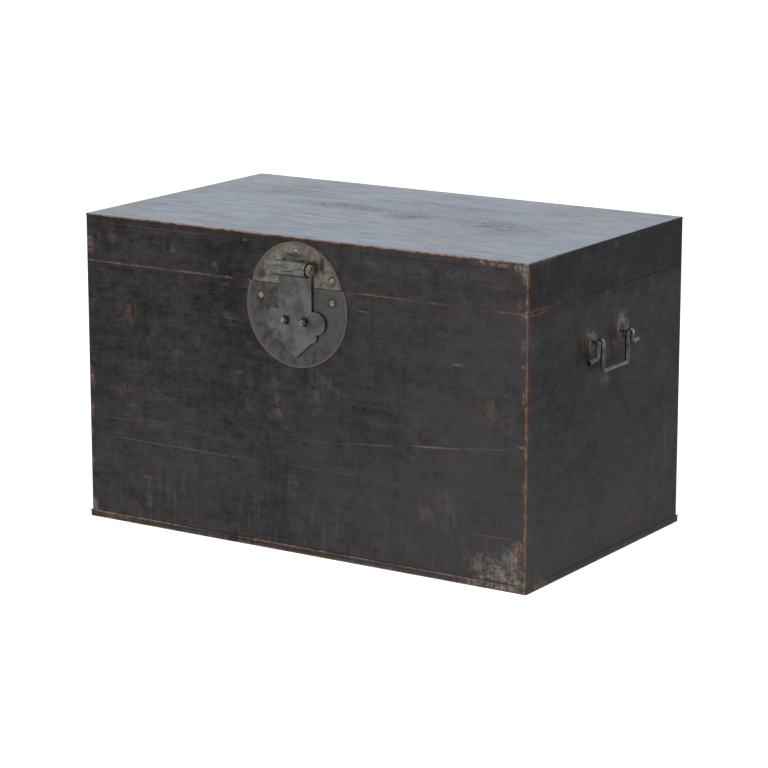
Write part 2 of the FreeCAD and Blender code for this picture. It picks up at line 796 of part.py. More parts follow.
pin_end = "hasp_neck / 2 + side_clearance"
pin_parts = [
    rod("Pin_shank", "hasp_pin_radius", "x", f"-({pin_end})", pin_end, hasp_axis),
    rod(
        "Pin_head",
        "hasp_head_radius",
        "x",
        pin_end,
        f"{pin_end} + hasp_head_length",
        hasp_axis,
    ),
]
node("hasp_pivot_pin", fuse("Hasp_pin", pin_parts))

for side_name, side in (("left", -1), ("right", 1)):
    case_leaf = hinge_leaf(f"Case_leaf_{side_name}", side, False, hinge_case_nails)
    lid_leaf = hinge_leaf(f"Lid_leaf_{side_name}", side, True, hinge_lid_nails)
    node(f"hinge_case_leaf_{side_name}", case_leaf)
    node(f"hinge_lid_leaf_{side_name}", lid_leaf)
    node(f"hinge_pin_{side_name}", hinge_pin(f"Hinge_pin_{side_name}", side))
node("hinge_case_nails", hinge_case_nails)
node("hinge_lid_nails", hinge_lid_nails)

# Pieces that swing

node("hasp", hasp_form())
node("left_bail", bail("Left_bail", -1))
node("right_bail", bail("Right_bail", 1))

doc.recompute()
for piece in doc.Objects:
    if "Invalid" in piece.State or "Error" in piece.State:
        raise RuntimeError(f"{piece.Name} failed: {piece.State}")
for piece in nodes:
    if piece.Shape.isNull() or not piece.Shape.isValid():
        raise RuntimeError(f"{piece.Label} has no valid shape")

os.makedirs("parts", exist_ok=True)
for piece in nodes:
    piece.Shape.exportStep(f"parts/{piece.Label}.step")
    solids = len(piece.Shape.Solids)
    print(f"{piece.Label}: {solids} solids, {piece.Shape.Volume / 1000:.2f} cm3")
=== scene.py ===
import logging
import math
from dataclasses import dataclass, field
from enum import Enum

import bmesh
import bpy
from mathutils import Matrix, Vector, noise


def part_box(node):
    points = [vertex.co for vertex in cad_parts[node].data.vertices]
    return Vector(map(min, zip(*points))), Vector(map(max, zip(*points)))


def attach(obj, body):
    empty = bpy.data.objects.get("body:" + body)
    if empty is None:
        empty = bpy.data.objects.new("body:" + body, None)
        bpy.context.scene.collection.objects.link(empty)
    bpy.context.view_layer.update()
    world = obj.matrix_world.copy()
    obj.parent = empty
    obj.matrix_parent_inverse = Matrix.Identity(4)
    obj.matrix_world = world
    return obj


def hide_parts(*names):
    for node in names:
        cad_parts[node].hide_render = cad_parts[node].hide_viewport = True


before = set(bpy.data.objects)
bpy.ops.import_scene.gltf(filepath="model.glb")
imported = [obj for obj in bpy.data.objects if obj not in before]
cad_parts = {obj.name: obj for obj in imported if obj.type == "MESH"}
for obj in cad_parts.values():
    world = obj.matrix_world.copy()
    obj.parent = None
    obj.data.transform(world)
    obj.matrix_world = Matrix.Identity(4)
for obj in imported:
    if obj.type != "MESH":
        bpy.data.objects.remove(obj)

log = logging.getLogger("trunk")

MM = 0.001
# Level faces wider than this are shaded flat, and narrower ones as parts of a curve.
FLAT_WIDTH = 4 * MM
LEVEL_TURN = math.radians(0.5)
# How deep the painted skin of a face is taken to be.
SKIN = 2 * MM
# Vertices nearer than this are one, and near the axis of a turned shape those within the second.
WELD = 0.002 * MM
AXIS_WELD = 0.01 * MM
# A reach so long that a mark's shape doesn't change along it.
FAR = 1000.0
# The CAD mesh's own normals, which no longer fit once its edges are bevelled.
LEFT_NORMALS = "custom_normal"
Colour = tuple[float, float, float]
WHITE: Colour = (1.0, 1.0, 1.0)


@dataclass(frozen=True)
class Box:
    """A box between its lowest and highest corners, in metres."""

    low: Vector
    high: Vector

    @classmethod
    def around(cls, *nodes: str) -> "Box":
        """Measures the box that holds some CAD nodes.

        Args:
            nodes: Names of the nodes.

        Returns:
            The smallest box round them all.
        """
        ends = [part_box(node) for node in nodes]
        low = Vector([min(end[0][axis] for end in ends) for axis in range(3)])
        high = Vector([max(end[1][axis] for end in ends) for axis in range(3)])
        return cls(low, high)

    @property
    def middle(self) -> Vector:
        """The centre of the box."""
        return (self.low + self.high) / 2

    @property
    def half(self) -> Vector:
        """Half the size of the box along each axis."""
        return (self.high - self.low) / 2


class Tone(Enum):
    """Colours of what lies under, in or on the lacquer, as linear light."""

    BARE_EDGE = (0.365, 0.208, 0.138)
    RUBBED_WOOD = (0.120, 0.072, 0.052)
    RUST = (0.150, 0.086, 0.078)
    DUST = (0.130, 0.122, 0.120)
    CHALK = (0.300, 0.268, 0.240)
    CREAM = (0.330, 0.300, 0.252)
    SOOT = (0.006, 0.005, 0.005)


class Side(Enum):
    """The outer face of the trunk that a mark is on."""

    FRONT = "front"
    ENDS = "both ends"
    RIGHT = "right end"
    TOP = "top"


@dataclass(frozen=True)
class Mark:
    """A spot, rub, scratch or crack on one outer face, in millimetres.

    It is an ellipse with a ragged rim. Along runs with X on the front and top and with Y on the
    ends; up runs with Z, and with Y on the top.
    """

    side: Side
    along: float
    up: float
    half_length: float
    half_height: float
    tone: Tone
    strength: float = 0.5
    tilt: float = 0.0


@dataclass(frozen=True)
class Value:
    """What a node gives at each point. Numbers are reckoned with as plain ones are."""

    tree: bpy.types.NodeTree
    socket: bpy.types.NodeSocket

    def maths(self, operation: str, *values: "Feed") -> "Value":
        """Adds a maths node.

        Args:
            operation: Blender's name of what it does.
            values: What it does that with, in order.

        Returns:
            The result.
        """
        feeds = dict(enumerate(values))
        node = add_node(self.tree, "ShaderNodeMath", feeds, operation=operation)
        return Value(self.tree, node.outputs[0])

    def __add__(self, other: "Feed") -> "Value":
        """Returns this plus another value."""
        return self.maths("ADD", self, other)

    def __sub__(self, other: "Feed") -> "Value":
        """Returns this less another value."""
        return self.maths("SUBTRACT", self, other)

    def __rsub__(self, other: float) -> "Value":
        """Returns a number less this."""
        return self.maths("SUBTRACT", other, self)

    def __mul__(self, other: "Feed") -> "Value":
        """Returns this times another value."""
        return self.maths("MULTIPLY", self, other)

    def __truediv__(self, other: "Feed") -> "Value":
        """Returns this divided by another value."""
        return self.maths("DIVIDE", self, other)

    def __abs__(self) -> "Value":
        """Returns this without its sign."""
        return self.maths("ABSOLUTE", self)

    def at_most(self, other: "Feed") -> "Value":
        """Returns the smaller of this and another value."""
        return self.maths("MINIMUM", self, other)

    def at_least(self, other: "Feed") -> "Value":
        """Returns the larger of this and another value."""
        return self.maths("MAXIMUM", self, other)

    def reach(self, other: "Value") -> "Value":
        """Returns the length of the hypotenuse over this and another leg."""
        return self.maths("SQRT", self * self + other * other)

    def swing(self, weight: float) -> "Value":
        """Returns noise, which is about 0.5, as a swing about nothing with some weight."""
        return (self - 0.5) * weight

    def rise(self, start: "Feed", end: "Feed") -> "Value":
        """Turns this into a smooth step.

        Args:
            start: Where the step is still 0.
            end: Where the step has come to 1. It may lie below start.

        Returns:
            A value from 0 to 1.
        """
        feeds = {"Value": self, "From Min": start, "From Max": end}
        step = add_node(self.tree, "ShaderNodeMapRange", feeds, interpolation_type="SMOOTHSTEP")
        return Value(self.tree, step.outputs["Result"])

    def mixed(self, kind: str, feeds: dict[int, "Feed"], output: int) -> "Value":
        """Adds a mix node. It names several inputs alike, so they go by number.

        Args:
            kind: What it mixes, "RGBA" or "VECTOR".
            feeds: Input number, and what feeds it.
            output: Number of the output.

        Returns:
            The mixture.
        """
        node = add_node(self.tree, "ShaderNodeMix", feeds, data_type=kind)
        return Value(self.tree, node.outputs[output])

    def blend(self, first: "Feed", second: "Feed") -> "Value":
        """Returns the first colour where this is 0, and the second where it is 1."""
        return self.mixed("RGBA", {0: self, 6: first, 7: second}, 2)

    def choose(self, first: "Feed", second: "Feed") -> "Value":
        """Mixes two vectors, as blend() does two colours."""
        return self.mixed("VECTOR", {0: self, 4: first, 5: second}, 1)


Feed = Value | float | Colour | Vector


def feed(socket: bpy.types.NodeSocket, value: Feed) -> None:
    """Links a socket to an input, or writes a value on it.

    Args:
        socket: The input.
        value: A node's value, a number, a colour or a vector.
    """
    if isinstance(value, Value):
        value.tree.links.new(value.socket, socket)
    elif socket.type == "RGBA":
        socket.default_value = (*value, 1.0)
    else:
        socket.default_value = value


def add_node(
    tree: bpy.types.NodeTree, kind: str, feeds: dict[int | str, Feed], **settings: object
) -> bpy.types.Node:
    """Adds a node to a tree.

    Args:
        tree: The node tree.
        kind: Blender's name of the node type.
        feeds: Input name or number, and what feeds it.
        settings: Properties of the node.

    Returns:
        The new node.
    """
    added = tree.nodes.new(kind)
    for name, value in settings.items():
        setattr(added, name, value)
    for name, value in feeds.items():
        feed(added.inputs[name], value)
    return added


def placed(name: str, data: bpy.types.ID) -> bpy.types.Object:
    """Makes an object and links it to the scene.

    Args:
        name: The object's name.
        data: The mesh, lamp or camera that it shows.

    Returns:
        The object.
    """
    made = bpy.data.objects.new(name, data)
    bpy.context.scene.collection.objects.link(made)
    return made


def only(kind: type, items: list) -> list:
    """Returns the items of one kind, such as the vertices among what an operator made."""
    return [item for item in items if isinstance(item, kind)]


class Paint:
    """A node material, written a line at a time on Object coordinates in metres."""

    def __init__(self, name: str) -> None:
        """Starts a material with its shader and the three coordinates.

        Args:
            name: The material's name.
        """
        self.material = bpy.data.materials.new(name)
        self.material.use_nodes = True
        self.tree = self.material.node_tree
        self.shader = self.tree.nodes["Principled BSDF"]
        self.place = Value(self.tree, self.tree.nodes.new("ShaderNodeTexCoord").outputs["Object"])
        parts = add_node(self.tree, "ShaderNodeSeparateXYZ", {0: self.place})
        self.x, self.y, self.z = (Value(self.tree, output) for output in parts.outputs)

    def scaled(self, grain: Colour, shift: float = 0.0) -> Value:
        """Divides the coordinates by the size of a grain.

        Args:
            grain: The grain's size along X, Y and Z, in millimetres.
            shift: How far the pattern is moved, to make it another one.

        Returns:
            The scaled coordinates.
        """
        scale = Vector([1 / (length * MM) for length in grain])
        feeds = {"Vector": self.place, "Scale": scale, "Location": Vector((shift, shift, shift))}
        return Value(self.tree, add_node(self.tree, "ShaderNodeMapping", feeds).outputs[0])

    def noise(self, where: Value, detail: float, rough: float) -> Value:
        """Returns noise of about 0.5.

        Args:
            where: Scaled coordinates.
            detail: How many octaves it has.
            rough: How strong the fine octaves are.

        Returns:
            The noise.
        """
        feeds = {"Vector": where, "Scale": 1.0, "Detail": detail, "Roughness": rough}
        return Value(self.tree, add_node(self.tree, "ShaderNodeTexNoise", feeds).outputs[0])

    def mottle(self, grain: Colour, detail: float, rough: float, shift: float = 0.0) -> Value:
        """Returns noise with a grain of some size, as scaled() and noise() make it."""
        return self.noise(self.scaled(grain, shift), detail, rough)

    def insets(self, box: Box) -> list[Value]:
        """Measures how far a point is from each pair of faces of a box.

        Args:
            box: The box.

        Returns:
            The distances along X, Y and Z, in metres.
        """
        places = enumerate((self.x, self.y, self.z))
        return [abs(box.half[axis] - abs(value - box.middle[axis])) for axis, value in places]

    def finish(
        self, colour: Feed, roughness: Feed, height: Feed, depth: float, metallic: Feed, shine: float
    ) -> bpy.types.Material:
        """Feeds the shader.

        Args:
            colour: Base colour.
            roughness: Roughness.
            height: Surface height from 0 to 1.
            depth: What a height of 1 stands for, in millimetres.
            metallic: 0 for paint and wood, 1 for metal.
            shine: The shader's specular level, the same all over.

        Returns:
            The finished material.
        """
        bump = {"Height": height, "Distance": depth * MM, "Strength": 1.0}
        normal = add_node(self.tree, "ShaderNodeBump", bump).outputs[0]
        for name, value in (
            ("Base Color", colour), ("Roughness", roughness), ("Metallic", metallic),
            ("Specular IOR Level", shine), ("Normal", Value(self.tree, normal)),
        ):
            feed(self.shader.inputs[name], value)
        return self.material


class LacquerPaint(Paint):
    """The material of a lacquer, with its noises and its outer faces."""

    def __init__(self, name: str, painted: Box) -> None:
        """Lays out the faces and the noises, coarse and fine.

        Args:
            name: The material's name.
            painted: The box whose outside was lacquered.
        """
        super().__init__(name)
        end_in, front_in, level_in = self.insets(painted)
        self.depth = end_in.at_most(front_in).at_most(level_in)
        on_top = (end_in.at_most(front_in) - level_in).rise(0, 1 * MM)
        on_end = (front_in - end_in).rise(-1 * MM, 1 * MM) * (1.0 - on_top)
        self.faces = self.outer_faces(on_top, end_in, front_in)

        self.blotch = self.mottle((150, 150, 110), 4, 0.6)
        self.streak = self.noise(self.boarded(on_end, 150, 6), 5, 0.65)
        self.fine = self.noise(self.boarded(on_end, 22, 1.8), 3, 0.6)
        self.drips = self.mottle((5, 5, 42), 3, 0.6, 3.1)
        self.cloud = self.mottle((34, 34, 26), 5, 0.62, 5.7)
        self.patch = self.mottle((13, 13, 10), 5, 0.7, 4.6)
        self.speck = self.mottle((5, 5, 4), 2, 0.5, 2.2)
        self.runs = self.mottle((8, 8, 46), 3, 0.6, 9.1)
        self.strokes = self.mottle((48, 7, 7), 5, 0.72, 3.9)
        self.rag = self.speck.swing(1.6) + self.patch.swing(1.4)
        self.torn = (self.drips * 0.35 + self.patch * 0.65).rise(0.40, 0.60)

    def boarded(self, on_end: Value, along: float, across: float) -> Value:
        """Scales the coordinates so that a pattern runs along each board.

        Args:
            on_end: 1 on the boards that run along Y.
            along: Size of the grain along the board, in millimetres.
            across: Size of the grain across it.

        Returns:
            The scaled coordinates.
        """
        lengthwise = self.scaled((along, across, across))
        return on_end.choose(lengthwise, self.scaled((across, along, across), shift=7.3))

    def outer_faces(self, on_top: Value, end_in: Value, front_in: Value) -> dict[Side, Value]:
        """Tells the outer faces apart.

        Args:
            on_top: 1 on level faces.
            end_in: Distance from the ends.
            front_in: Distance from front and back.

        Returns:
            For each side, 1 on that face and 0 elsewhere.
        """
        upright = 1.0 - on_top
        before = front_in.rise(SKIN, SKIN / 2) * self.y.rise(0.01, -0.01)
        ends = end_in.rise(SKIN, SKIN / 2) * upright
        return {
            Side.FRONT: before * upright,
            Side.ENDS: ends,
            Side.RIGHT: ends * self.x.rise(-0.01, 0.01),
            Side.TOP: on_top * self.z.rise(0.39, 0.43),
        }


@dataclass(frozen=True)
class Lacquer:
    """Old dark lacquer over wood: worn to the wood on its arrises, bare where it was never painted."""

    name: str
    painted: Box
    arrises: Box
    marks: tuple[Mark, ...] = ()
    dark: Colour = (0.0060, 0.0052, 0.0056)
    film: Colour = (0.0665, 0.0590, 0.0585)
    cool_film: Colour = (0.0620, 0.0590, 0.0635)
    # The top's dust colour is tinted blue as a painted sheen of the sky, as well as being dust.
    top_dust_and_sky_sheen: Colour = (0.122, 0.165, 0.236)
    bare_dark: Colour = (0.140, 0.088, 0.053)
    bare_light: Colour = (0.232, 0.158, 0.102)
    shine: float = 0.05
    top_shine: float = 0.5
    wear_width: float = 0.75
    side_wear: float = 0.28
    corner_wear: float = 3.0
    top_wear: float = 1.9
    thin_line: float = 1.6
    edge: Colour = Tone.BARE_EDGE.value
    broken: float = 0.35
    relief: float = 0.35

    def mark_share(self, paint: LacquerPaint, mark: Mark) -> Value:
        """Works out where a mark covers the lacquer.

        Args:
            paint: The material that is written.
            mark: The mark.

        Returns:
            The mark's strength at each point.
        """
        turn = math.radians(mark.tilt)
        along, up, length, height = (
            value * MM for value in (mark.along, mark.up, mark.half_length, mark.half_height)
        )
        place, tilt, reach = {
            Side.FRONT: ((along, 0, up), (0, -turn, 0), (length, FAR, height)),
            Side.TOP: ((along, up, 0), (0, 0, turn), (length, height, FAR)),
        }.get(mark.side, ((0, along, up), (turn, 0, 0), (FAR, length, height)))
        feeds = {"Vector": paint.place, "Location": place, "Rotation": tilt, "Scale": reach}
        within = add_node(paint.tree, "ShaderNodeMapping", feeds, vector_type="TEXTURE").outputs[0]
        inside = {0: Value(paint.tree, within)}
        away = add_node(paint.tree, "ShaderNodeVectorMath", inside, operation="LENGTH")
        rim = Value(paint.tree, away.outputs["Value"]) + paint.rag
        if mark.half_height < self.thin_line:
            cover = rim.rise(1.25, 0.45)
        else:
            cover = rim.rise(1.45, 0.10) * paint.torn
        return cover * paint.faces[mark.side] * mark.strength

    def filmed(self, paint: LacquerPaint) -> Value:
        """Mixes the dark film, which is thicker in some places than in others, lighter lower down and
        towards the right, and darkened on the ends as painted shade, most high up and towards the back.

        Args:
            paint: The material that is written.

        Returns:
            The film's colour.
        """
        ends = paint.faces[Side.ENDS]
        film = paint.blotch.swing(0.9) + 0.33
        for noise_map, weight in (
            (paint.streak, 0.50), (paint.fine, 0.50), (paint.drips, 0.40), (paint.patch, 1.00),
            (paint.cloud, 0.85),
        ):
            film = film + noise_map.swing(weight)
        film = film + paint.z.rise(0.30, 0.0) * 0.24 + paint.x.rise(-0.10, 0.36) * 0.38
        # Painted shade on the ends: they are darkened, more so high up and towards the back.
        film = film - ends * 0.34 - ends * paint.z.rise(0.36, 0.40) * 0.34
        film = film - ends * paint.y.rise(-0.02, 0.22) * 0.12
        tint = paint.cloud.rise(0.40, 0.60).blend(self.film, self.cool_film)
        return film.rise(-0.35, 1.05).blend(self.dark, tint)

    def stained(self, paint: LacquerPaint, colour: Value) -> Value:
        """Adds scuffs, brown rubs, pale runs low on the front and specks of dust.

        Args:
            paint: The material that is written.
            colour: The film's colour.

        Returns:
            The stained colour.
        """
        scuff = paint.cloud.rise(0.60, 0.74) * paint.fine.rise(0.42, 0.68)
        brown = paint.cloud.rise(0.40, 0.24) * paint.streak.rise(0.45, 0.65)
        low = paint.z.rise(0.17, 0.03) * paint.faces[Side.FRONT]
        pale = paint.runs.rise(0.54, 0.74) * low
        specks = paint.speck.rise(0.715, 0.78)
        for share, strength, tone in (
            (scuff, 0.55, Tone.DUST), (brown, 0.30, Tone.RUBBED_WOOD), (pale, 0.32, Tone.DUST),
            (specks, 0.5, Tone.DUST),
        ):
            colour = (share * strength).blend(colour, tone.value)
        return colour

    def lay_dust_and_sky_sheen(self, paint: LacquerPaint, colour: Value) -> Value:
        """Lays a blue-grey tint over the whole top, dust mixed with a painted sheen of the sky, stronger in
        pale strokes of dust, with brown pits in it.

        Args:
            paint: The material that is written.
            colour: The colour so far.

        Returns:
            The colour with the dust and the painted sky sheen on it.
        """
        top = paint.faces[Side.TOP]
        # The whole top gets at least a third of this colour: painted sky sheen everywhere, with dust
        # strokes on it.
        dust_and_sky_sheen = paint.blotch * 0.25 + paint.cloud * 0.20 + paint.strokes * 0.55
        dust_and_sky_sheen = (dust_and_sky_sheen.rise(0.40, 0.58) * 0.80 + 0.36) * top
        colour = (dust_and_sky_sheen * 0.88).blend(colour, self.top_dust_and_sky_sheen)
        pits = paint.patch.rise(0.36, 0.28) * top
        return (pits * 0.60).blend(colour, Tone.RUBBED_WOOD.value)

    def build(self, shine: float | None = None) -> bpy.types.Material:
        """Writes the material.

        Args:
            shine: The specular level, where it isn't the one of the upright faces.

        Returns:
            The lacquered wood.
        """
        paint = LacquerPaint(self.name if shine is None else f"{self.name}_polished", self.painted)
        colour = self.lay_dust_and_sky_sheen(paint, self.stained(paint, self.filmed(paint)))
        dull = paint.strokes.rise(0.52, 0.34) * (paint.faces[Side.TOP] * 0.22)
        for mark in self.marks:
            share = self.mark_share(paint, mark)
            colour = share.blend(colour, mark.tone.value)
            if mark.tone is Tone.SOOT:
                dull = dull.at_least(share * 0.55)

        wear, halo = self.wear(paint)
        wear = wear * (paint.torn * self.broken + (1 - self.broken))
        colour = halo.blend(colour, Tone.RUBBED_WOOD.value)
        colour = wear.blend(colour, self.edge)

        bare = paint.depth.rise(2.2 * MM, 3.4 * MM)
        wood = paint.streak.rise(0.3, 0.7).blend(self.bare_dark, self.bare_light)
        wood = (paint.fine.rise(0.5, 0.8) * 0.5).blend(wood, self.bare_dark)
        colour = bare.blend(colour, wood)

        matt = wear.at_least(bare) * 0.30 + 0.34 + paint.cloud.swing(0.25) + dull * 0.30
        height = paint.streak * 0.6 + paint.fine * 0.4 - wear * 0.5
        return paint.finish(colour, matt, height, self.relief, 0.0, shine or self.shine)

    def wear(self, paint: LacquerPaint) -> tuple[Value, Value]:
        """Rubs the arrises through to the wood.

        Args:
            paint: The material that is written.

        Returns:
            Where the bare wood shows, and the wider brown rub round it.
        """
        end_in, front_in, level_in = paint.insets(self.arrises)
        left, right = self.arrises.low.x, self.arrises.high.x
        arris = end_in.at_most(front_in).at_least(end_in.at_least(front_in).at_most(level_in))
        before = paint.y.rise(0.0, -0.2)
        chips = paint.mottle((11, 11, 11), 3, 0.6, 1.3)
        runs = paint.mottle((70, 70, 70), 3, 0.6, 4.4)

        swing = runs.swing(2.2) + 0.75 + chips.rise(0.60, 0.78) * 1.6 + chips.swing(0.8)
        width = swing.at_least(0.05) * (self.wear_width * MM)
        rubbed = (chips * 2.6 + -0.35).at_least(0.3) * (self.corner_wear * MM)
        near_corner = paint.x.rise(right - 7 * MM, right - 4 * MM) * level_in.rise(0.5 * MM, 2 * MM)
        width = width.at_least(near_corner * before * rubbed)
        upper = paint.z.rise(0.452, 0.455) * (self.top_wear * MM)
        width = width.at_least(upper * (chips * 2.6 + runs * 1.6 - 1.1))

        share = before * (1 - self.side_wear) + self.side_wear
        share = share * (paint.x.rise(left + 6 * MM, left + 1 * MM) * -0.55 + 1.0)
        reach = arris / (width * share)
        ends_less = paint.faces[Side.ENDS] * -0.6 + 1.0
        return reach.rise(1.25, 0.55) * (share * ends_less), reach.rise(3.5, 1.0) * (share * 0.22)


@dataclass(frozen=True)
class OldMetal:
    """Metal with a dull skin: mottled, streaked and stained."""

    name: str
    body: Colour
    light: Colour
    stain: Colour
    streak: Colour
    stained: float = 0.3
    streaked: float = 0.3
    metallic: float = 0.85
    roughness: float = 0.42
    coarse: float = 14.0
    depth: float = 0.25
    run: Colour = (3.2, 3.2, 34)
    shine: float = 0.5

    def skin(self, paint: Paint) -> tuple[Value, Value, Value]:
        """Mixes the metal's colours.

        Args:
            paint: The material that is written.

        Returns:
            The colour, the roughness and the noise that both follow.
        """
        cloud = paint.mottle((self.coarse,) * 3, 5, 0.62, 2.7)
        grit = paint.mottle((1.6, 1.6, 1.6), 3, 0.6, 6.1)
        falls = paint.mottle(self.run, 4, 0.7, 8.8) * 0.6 + grit * 0.4
        tint = cloud + grit.swing(0.5)
        colour = tint.rise(0.36, 0.66).blend(self.body, self.light)
        colour = (falls.rise(0.50, 0.64) * self.streaked).blend(colour, self.streak)
        colour = (cloud.rise(0.50, 0.30) * self.stained).blend(colour, self.stain)
        height = cloud * 0.6 + grit * 0.4
        return colour, height.swing(0.5) + self.roughness, height

    def build(self) -> bpy.types.Material:
        """Writes the material.

        Returns:
            The old metal.
        """
        paint = Paint(self.name)
        colour, matt, height = self.skin(paint)
        return paint.finish(colour, matt, height, self.depth, self.metallic, self.shine)


@dataclass(frozen=True)
class LockPlateMetal(OldMetal):
    """A round plate's metal: its rim is rubbed bright and a brown ring lies inside the rim."""

    centre_z: float = 0.0
    radius: float = 0.08
    ring: Colour = (0.088, 0.068, 0.061)
    rim: Colour = (0.230, 0.172, 0.138)
    ring_width: float = 11.0
    shade: Colour = (0.040, 0.037, 0.034)
    shades: tuple[tuple[float, float, float, float], ...] = ()
    bright_side: float = 0.0

    def shaded(self, paint: Paint, colour: Value, ragged: Value) -> Value:
        """Darkens some ragged spots, among them painted shade in the crease above the knuckle, and
        brightens the plate towards its right side.

        Args:
            paint: The material that is written.
            colour: The metal's colour.
            ragged: Noise that makes the rims uneven.

        Returns:
            The colour with the spots on it.
        """
        colour = (paint.x.rise(0.0, self.radius) * self.bright_side).blend(colour, self.light)
        for x, z, half_length, half_height in self.shades:
            along = (paint.x - x * MM) / (half_length * MM)
            up = (paint.z - z * MM) / (half_height * MM)
            away = along.reach(up) + (ragged - 0.5)
            colour = (away.rise(1.3, 0.6) * 0.75).blend(colour, self.shade)
        return colour

    def build(self) -> bpy.types.Material:
        """Writes the material.

        Returns:
            The plate's metal.
        """
        paint = Paint(self.name)
        colour, matt, height = self.skin(paint)
        inside = self.radius - paint.x.reach(paint.z - self.centre_z)
        ragged = paint.mottle((16, 16, 16), 4, 0.6, 9.4)
        colour = self.shaded(paint, colour, ragged)
        width = (ragged * 1.6 + -0.1) * (self.ring_width * MM) * (paint.x.rise(0.0, -0.09) + 0.8)
        ring = inside.rise(width, 0.0) * 0.95
        rim = inside.rise(ragged * (2.4 * MM), 0.2 * MM)
        colour = (rim * 0.85).blend(ring.blend(colour, self.ring), self.rim)
        metal = ring.at_least(rim) * -0.5 + self.metallic
        return paint.finish(colour, matt, height, self.depth, metal, self.shine)


class Form:
    """A mesh that bmesh operators shape in its own place on the trunk, in metres."""

    def __init__(self) -> None:
        """Starts an empty mesh."""
        self.mesh = bmesh.new()

    @classmethod
    def copied(cls, node: str) -> "Form":
        """Copies a CAD node, with its loose triangles merged into whole faces.

        Args:
            node: The node's name.

        Returns:
            The copy.
        """
        form = cls()
        form.mesh.from_mesh(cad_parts[node].data)
        bmesh.ops.remove_doubles(form.mesh, verts=form.mesh.verts, dist=WELD)
        bmesh.ops.dissolve_limit(
            form.mesh, angle_limit=LEVEL_TURN, verts=form.mesh.verts, edges=form.mesh.edges
        )
        return form

    def block(self, low: Vector, high: Vector) -> list[bmesh.types.BMVert]:
        """Adds a box.

        Args:
            low: Its lowest corner.
            high: Its highest corner.

        Returns:
            Its vertices.
        """
        made = bmesh.ops.create_cube(self.mesh, size=1)["verts"]
        bmesh.ops.scale(self.mesh, vec=high - low, verts=made)
        bmesh.ops.translate(self.mesh, vec=(low + high) / 2, verts=made)
        return made

    def turned(
        self, outline: list[tuple[float, float]], centre: Vector, axis: str, steps: int, closed: bool
    ) -> list[bmesh.types.BMVert]:
        """Turns an outline about an axis, as on a lathe.

        Args:
            outline: (distance along the axis, radius) of each point, in metres.
            centre: Where the axis starts.
            axis: "X", "Y" or "Z".
            steps: Faces round the turn.
            closed: True where the outline is a closed ring, clear of the axis.

        Returns:
            The new vertices.
        """
        before = set(self.mesh.verts)
        line = [self.mesh.verts.new((radius, 0, along)) for along, radius in outline]
        pairs = list(zip(line, line[1:] + line[:1])) if closed else list(zip(line, line[1:]))
        edges = [self.mesh.edges.new(pair) for pair in pairs]
        bmesh.ops.spin(
            self.mesh, geom=line + edges, cent=(0, 0, 0), axis=(0, 0, 1), dvec=(0, 0, 0),
            angle=math.tau, steps=steps, use_merge=True, use_duplicate=False,
        )
        made = [vert for vert in self.mesh.verts if vert not in before]
        bmesh.ops.remove_doubles(self.mesh, verts=made, dist=AXIS_WELD)
        made = [vert for vert in self.mesh.verts if vert not in before]
        stand = {"X": Matrix.Rotation(math.pi / 2, 3, "Y"),
                 "Y": Matrix.Rotation(-math.pi / 2, 3, "X"), "Z": Matrix.Identity(3)}[axis]
        bmesh.ops.transform(
            self.mesh, matrix=Matrix.Translation(centre) @ stand.to_4x4(), verts=made
        )
        return made

    def cut_off(self, level: float, keep_below: bool) -> list[bmesh.types.BMEdge]:
        """Cuts away what lies above or below a level.

        Args:
            level: The height of the cut.
            keep_below: True to keep what is below it.

        Returns:
            The edges along the cut.
        """
        whole = self.mesh.verts[:] + self.mesh.edges[:] + self.mesh.faces[:]
        cut = bmesh.ops.bisect_plane(
            self.mesh, geom=whole, plane_co=(0, 0, level),
            plane_no=(0, 0, 1 if keep_below else -1), clear_outer=True,
        )["geom_cut"]
        return only(bmesh.types.BMEdge, cut)

    def soften(self, edges: list[bmesh.types.BMEdge], width: float, steps: int = 2) -> None:
        """Rounds some edges over.

        Args:
            edges: The edges.
            width: How far in the rounding starts, in metres.
            steps: Faces across it.
        """
        bmesh.ops.bevel(
            self.mesh, geom=edges, offset=width, offset_type="OFFSET", segments=steps,
            profile=0.5, affect="EDGES", clamp_overlap=True, material=-1,
        )

    def sharp_edges(self, turn: float = 50.0) -> list[bmesh.types.BMEdge]:
        """Lists the edges at which the surface turns by more than an angle.

        Args:
            turn: The angle, in degrees.

        Returns:
            The edges.
        """
        limit = math.radians(turn)
        return [
            edge for edge in self.mesh.edges
            if len(edge.link_faces) == 2 and edge.calc_face_angle(0.0) > limit
        ]

    def roughen(self, verts: list[bmesh.types.BMVert], by: float, grain: float) -> None:
        """Moves vertices a little along their normals, the same way on each run.

        Args:
            verts: The vertices.
            by: The furthest that one moves, in metres.
            grain: The size of the unevenness, in metres.
        """
        self.mesh.normal_update()
        for vert in verts:
            vert.co += vert.normal * by * noise.noise(vert.co / grain)

    def curved(self) -> list[bool]:
        """Tells the narrow faces that make up curves from the broad level ones.

        Returns:
            For each face, True if it is part of a curve.
        """
        left = set(self.mesh.faces)
        narrow = {}
        while left:
            level, outline = [left.pop()], 0.0
            for face in level:
                for edge in face.edges:
                    if edge.calc_face_angle(math.pi) > LEVEL_TURN:
                        outline += edge.calc_length()
                        continue
                    beyond = [other for other in edge.link_faces if other in left]
                    left.difference_update(beyond)
                    level.extend(beyond)
            area = sum(face.calc_area() for face in level)
            narrow.update((face, 2 * area < outline * FLAT_WIDTH) for face in level)
        return [narrow[face] for face in self.mesh.faces]

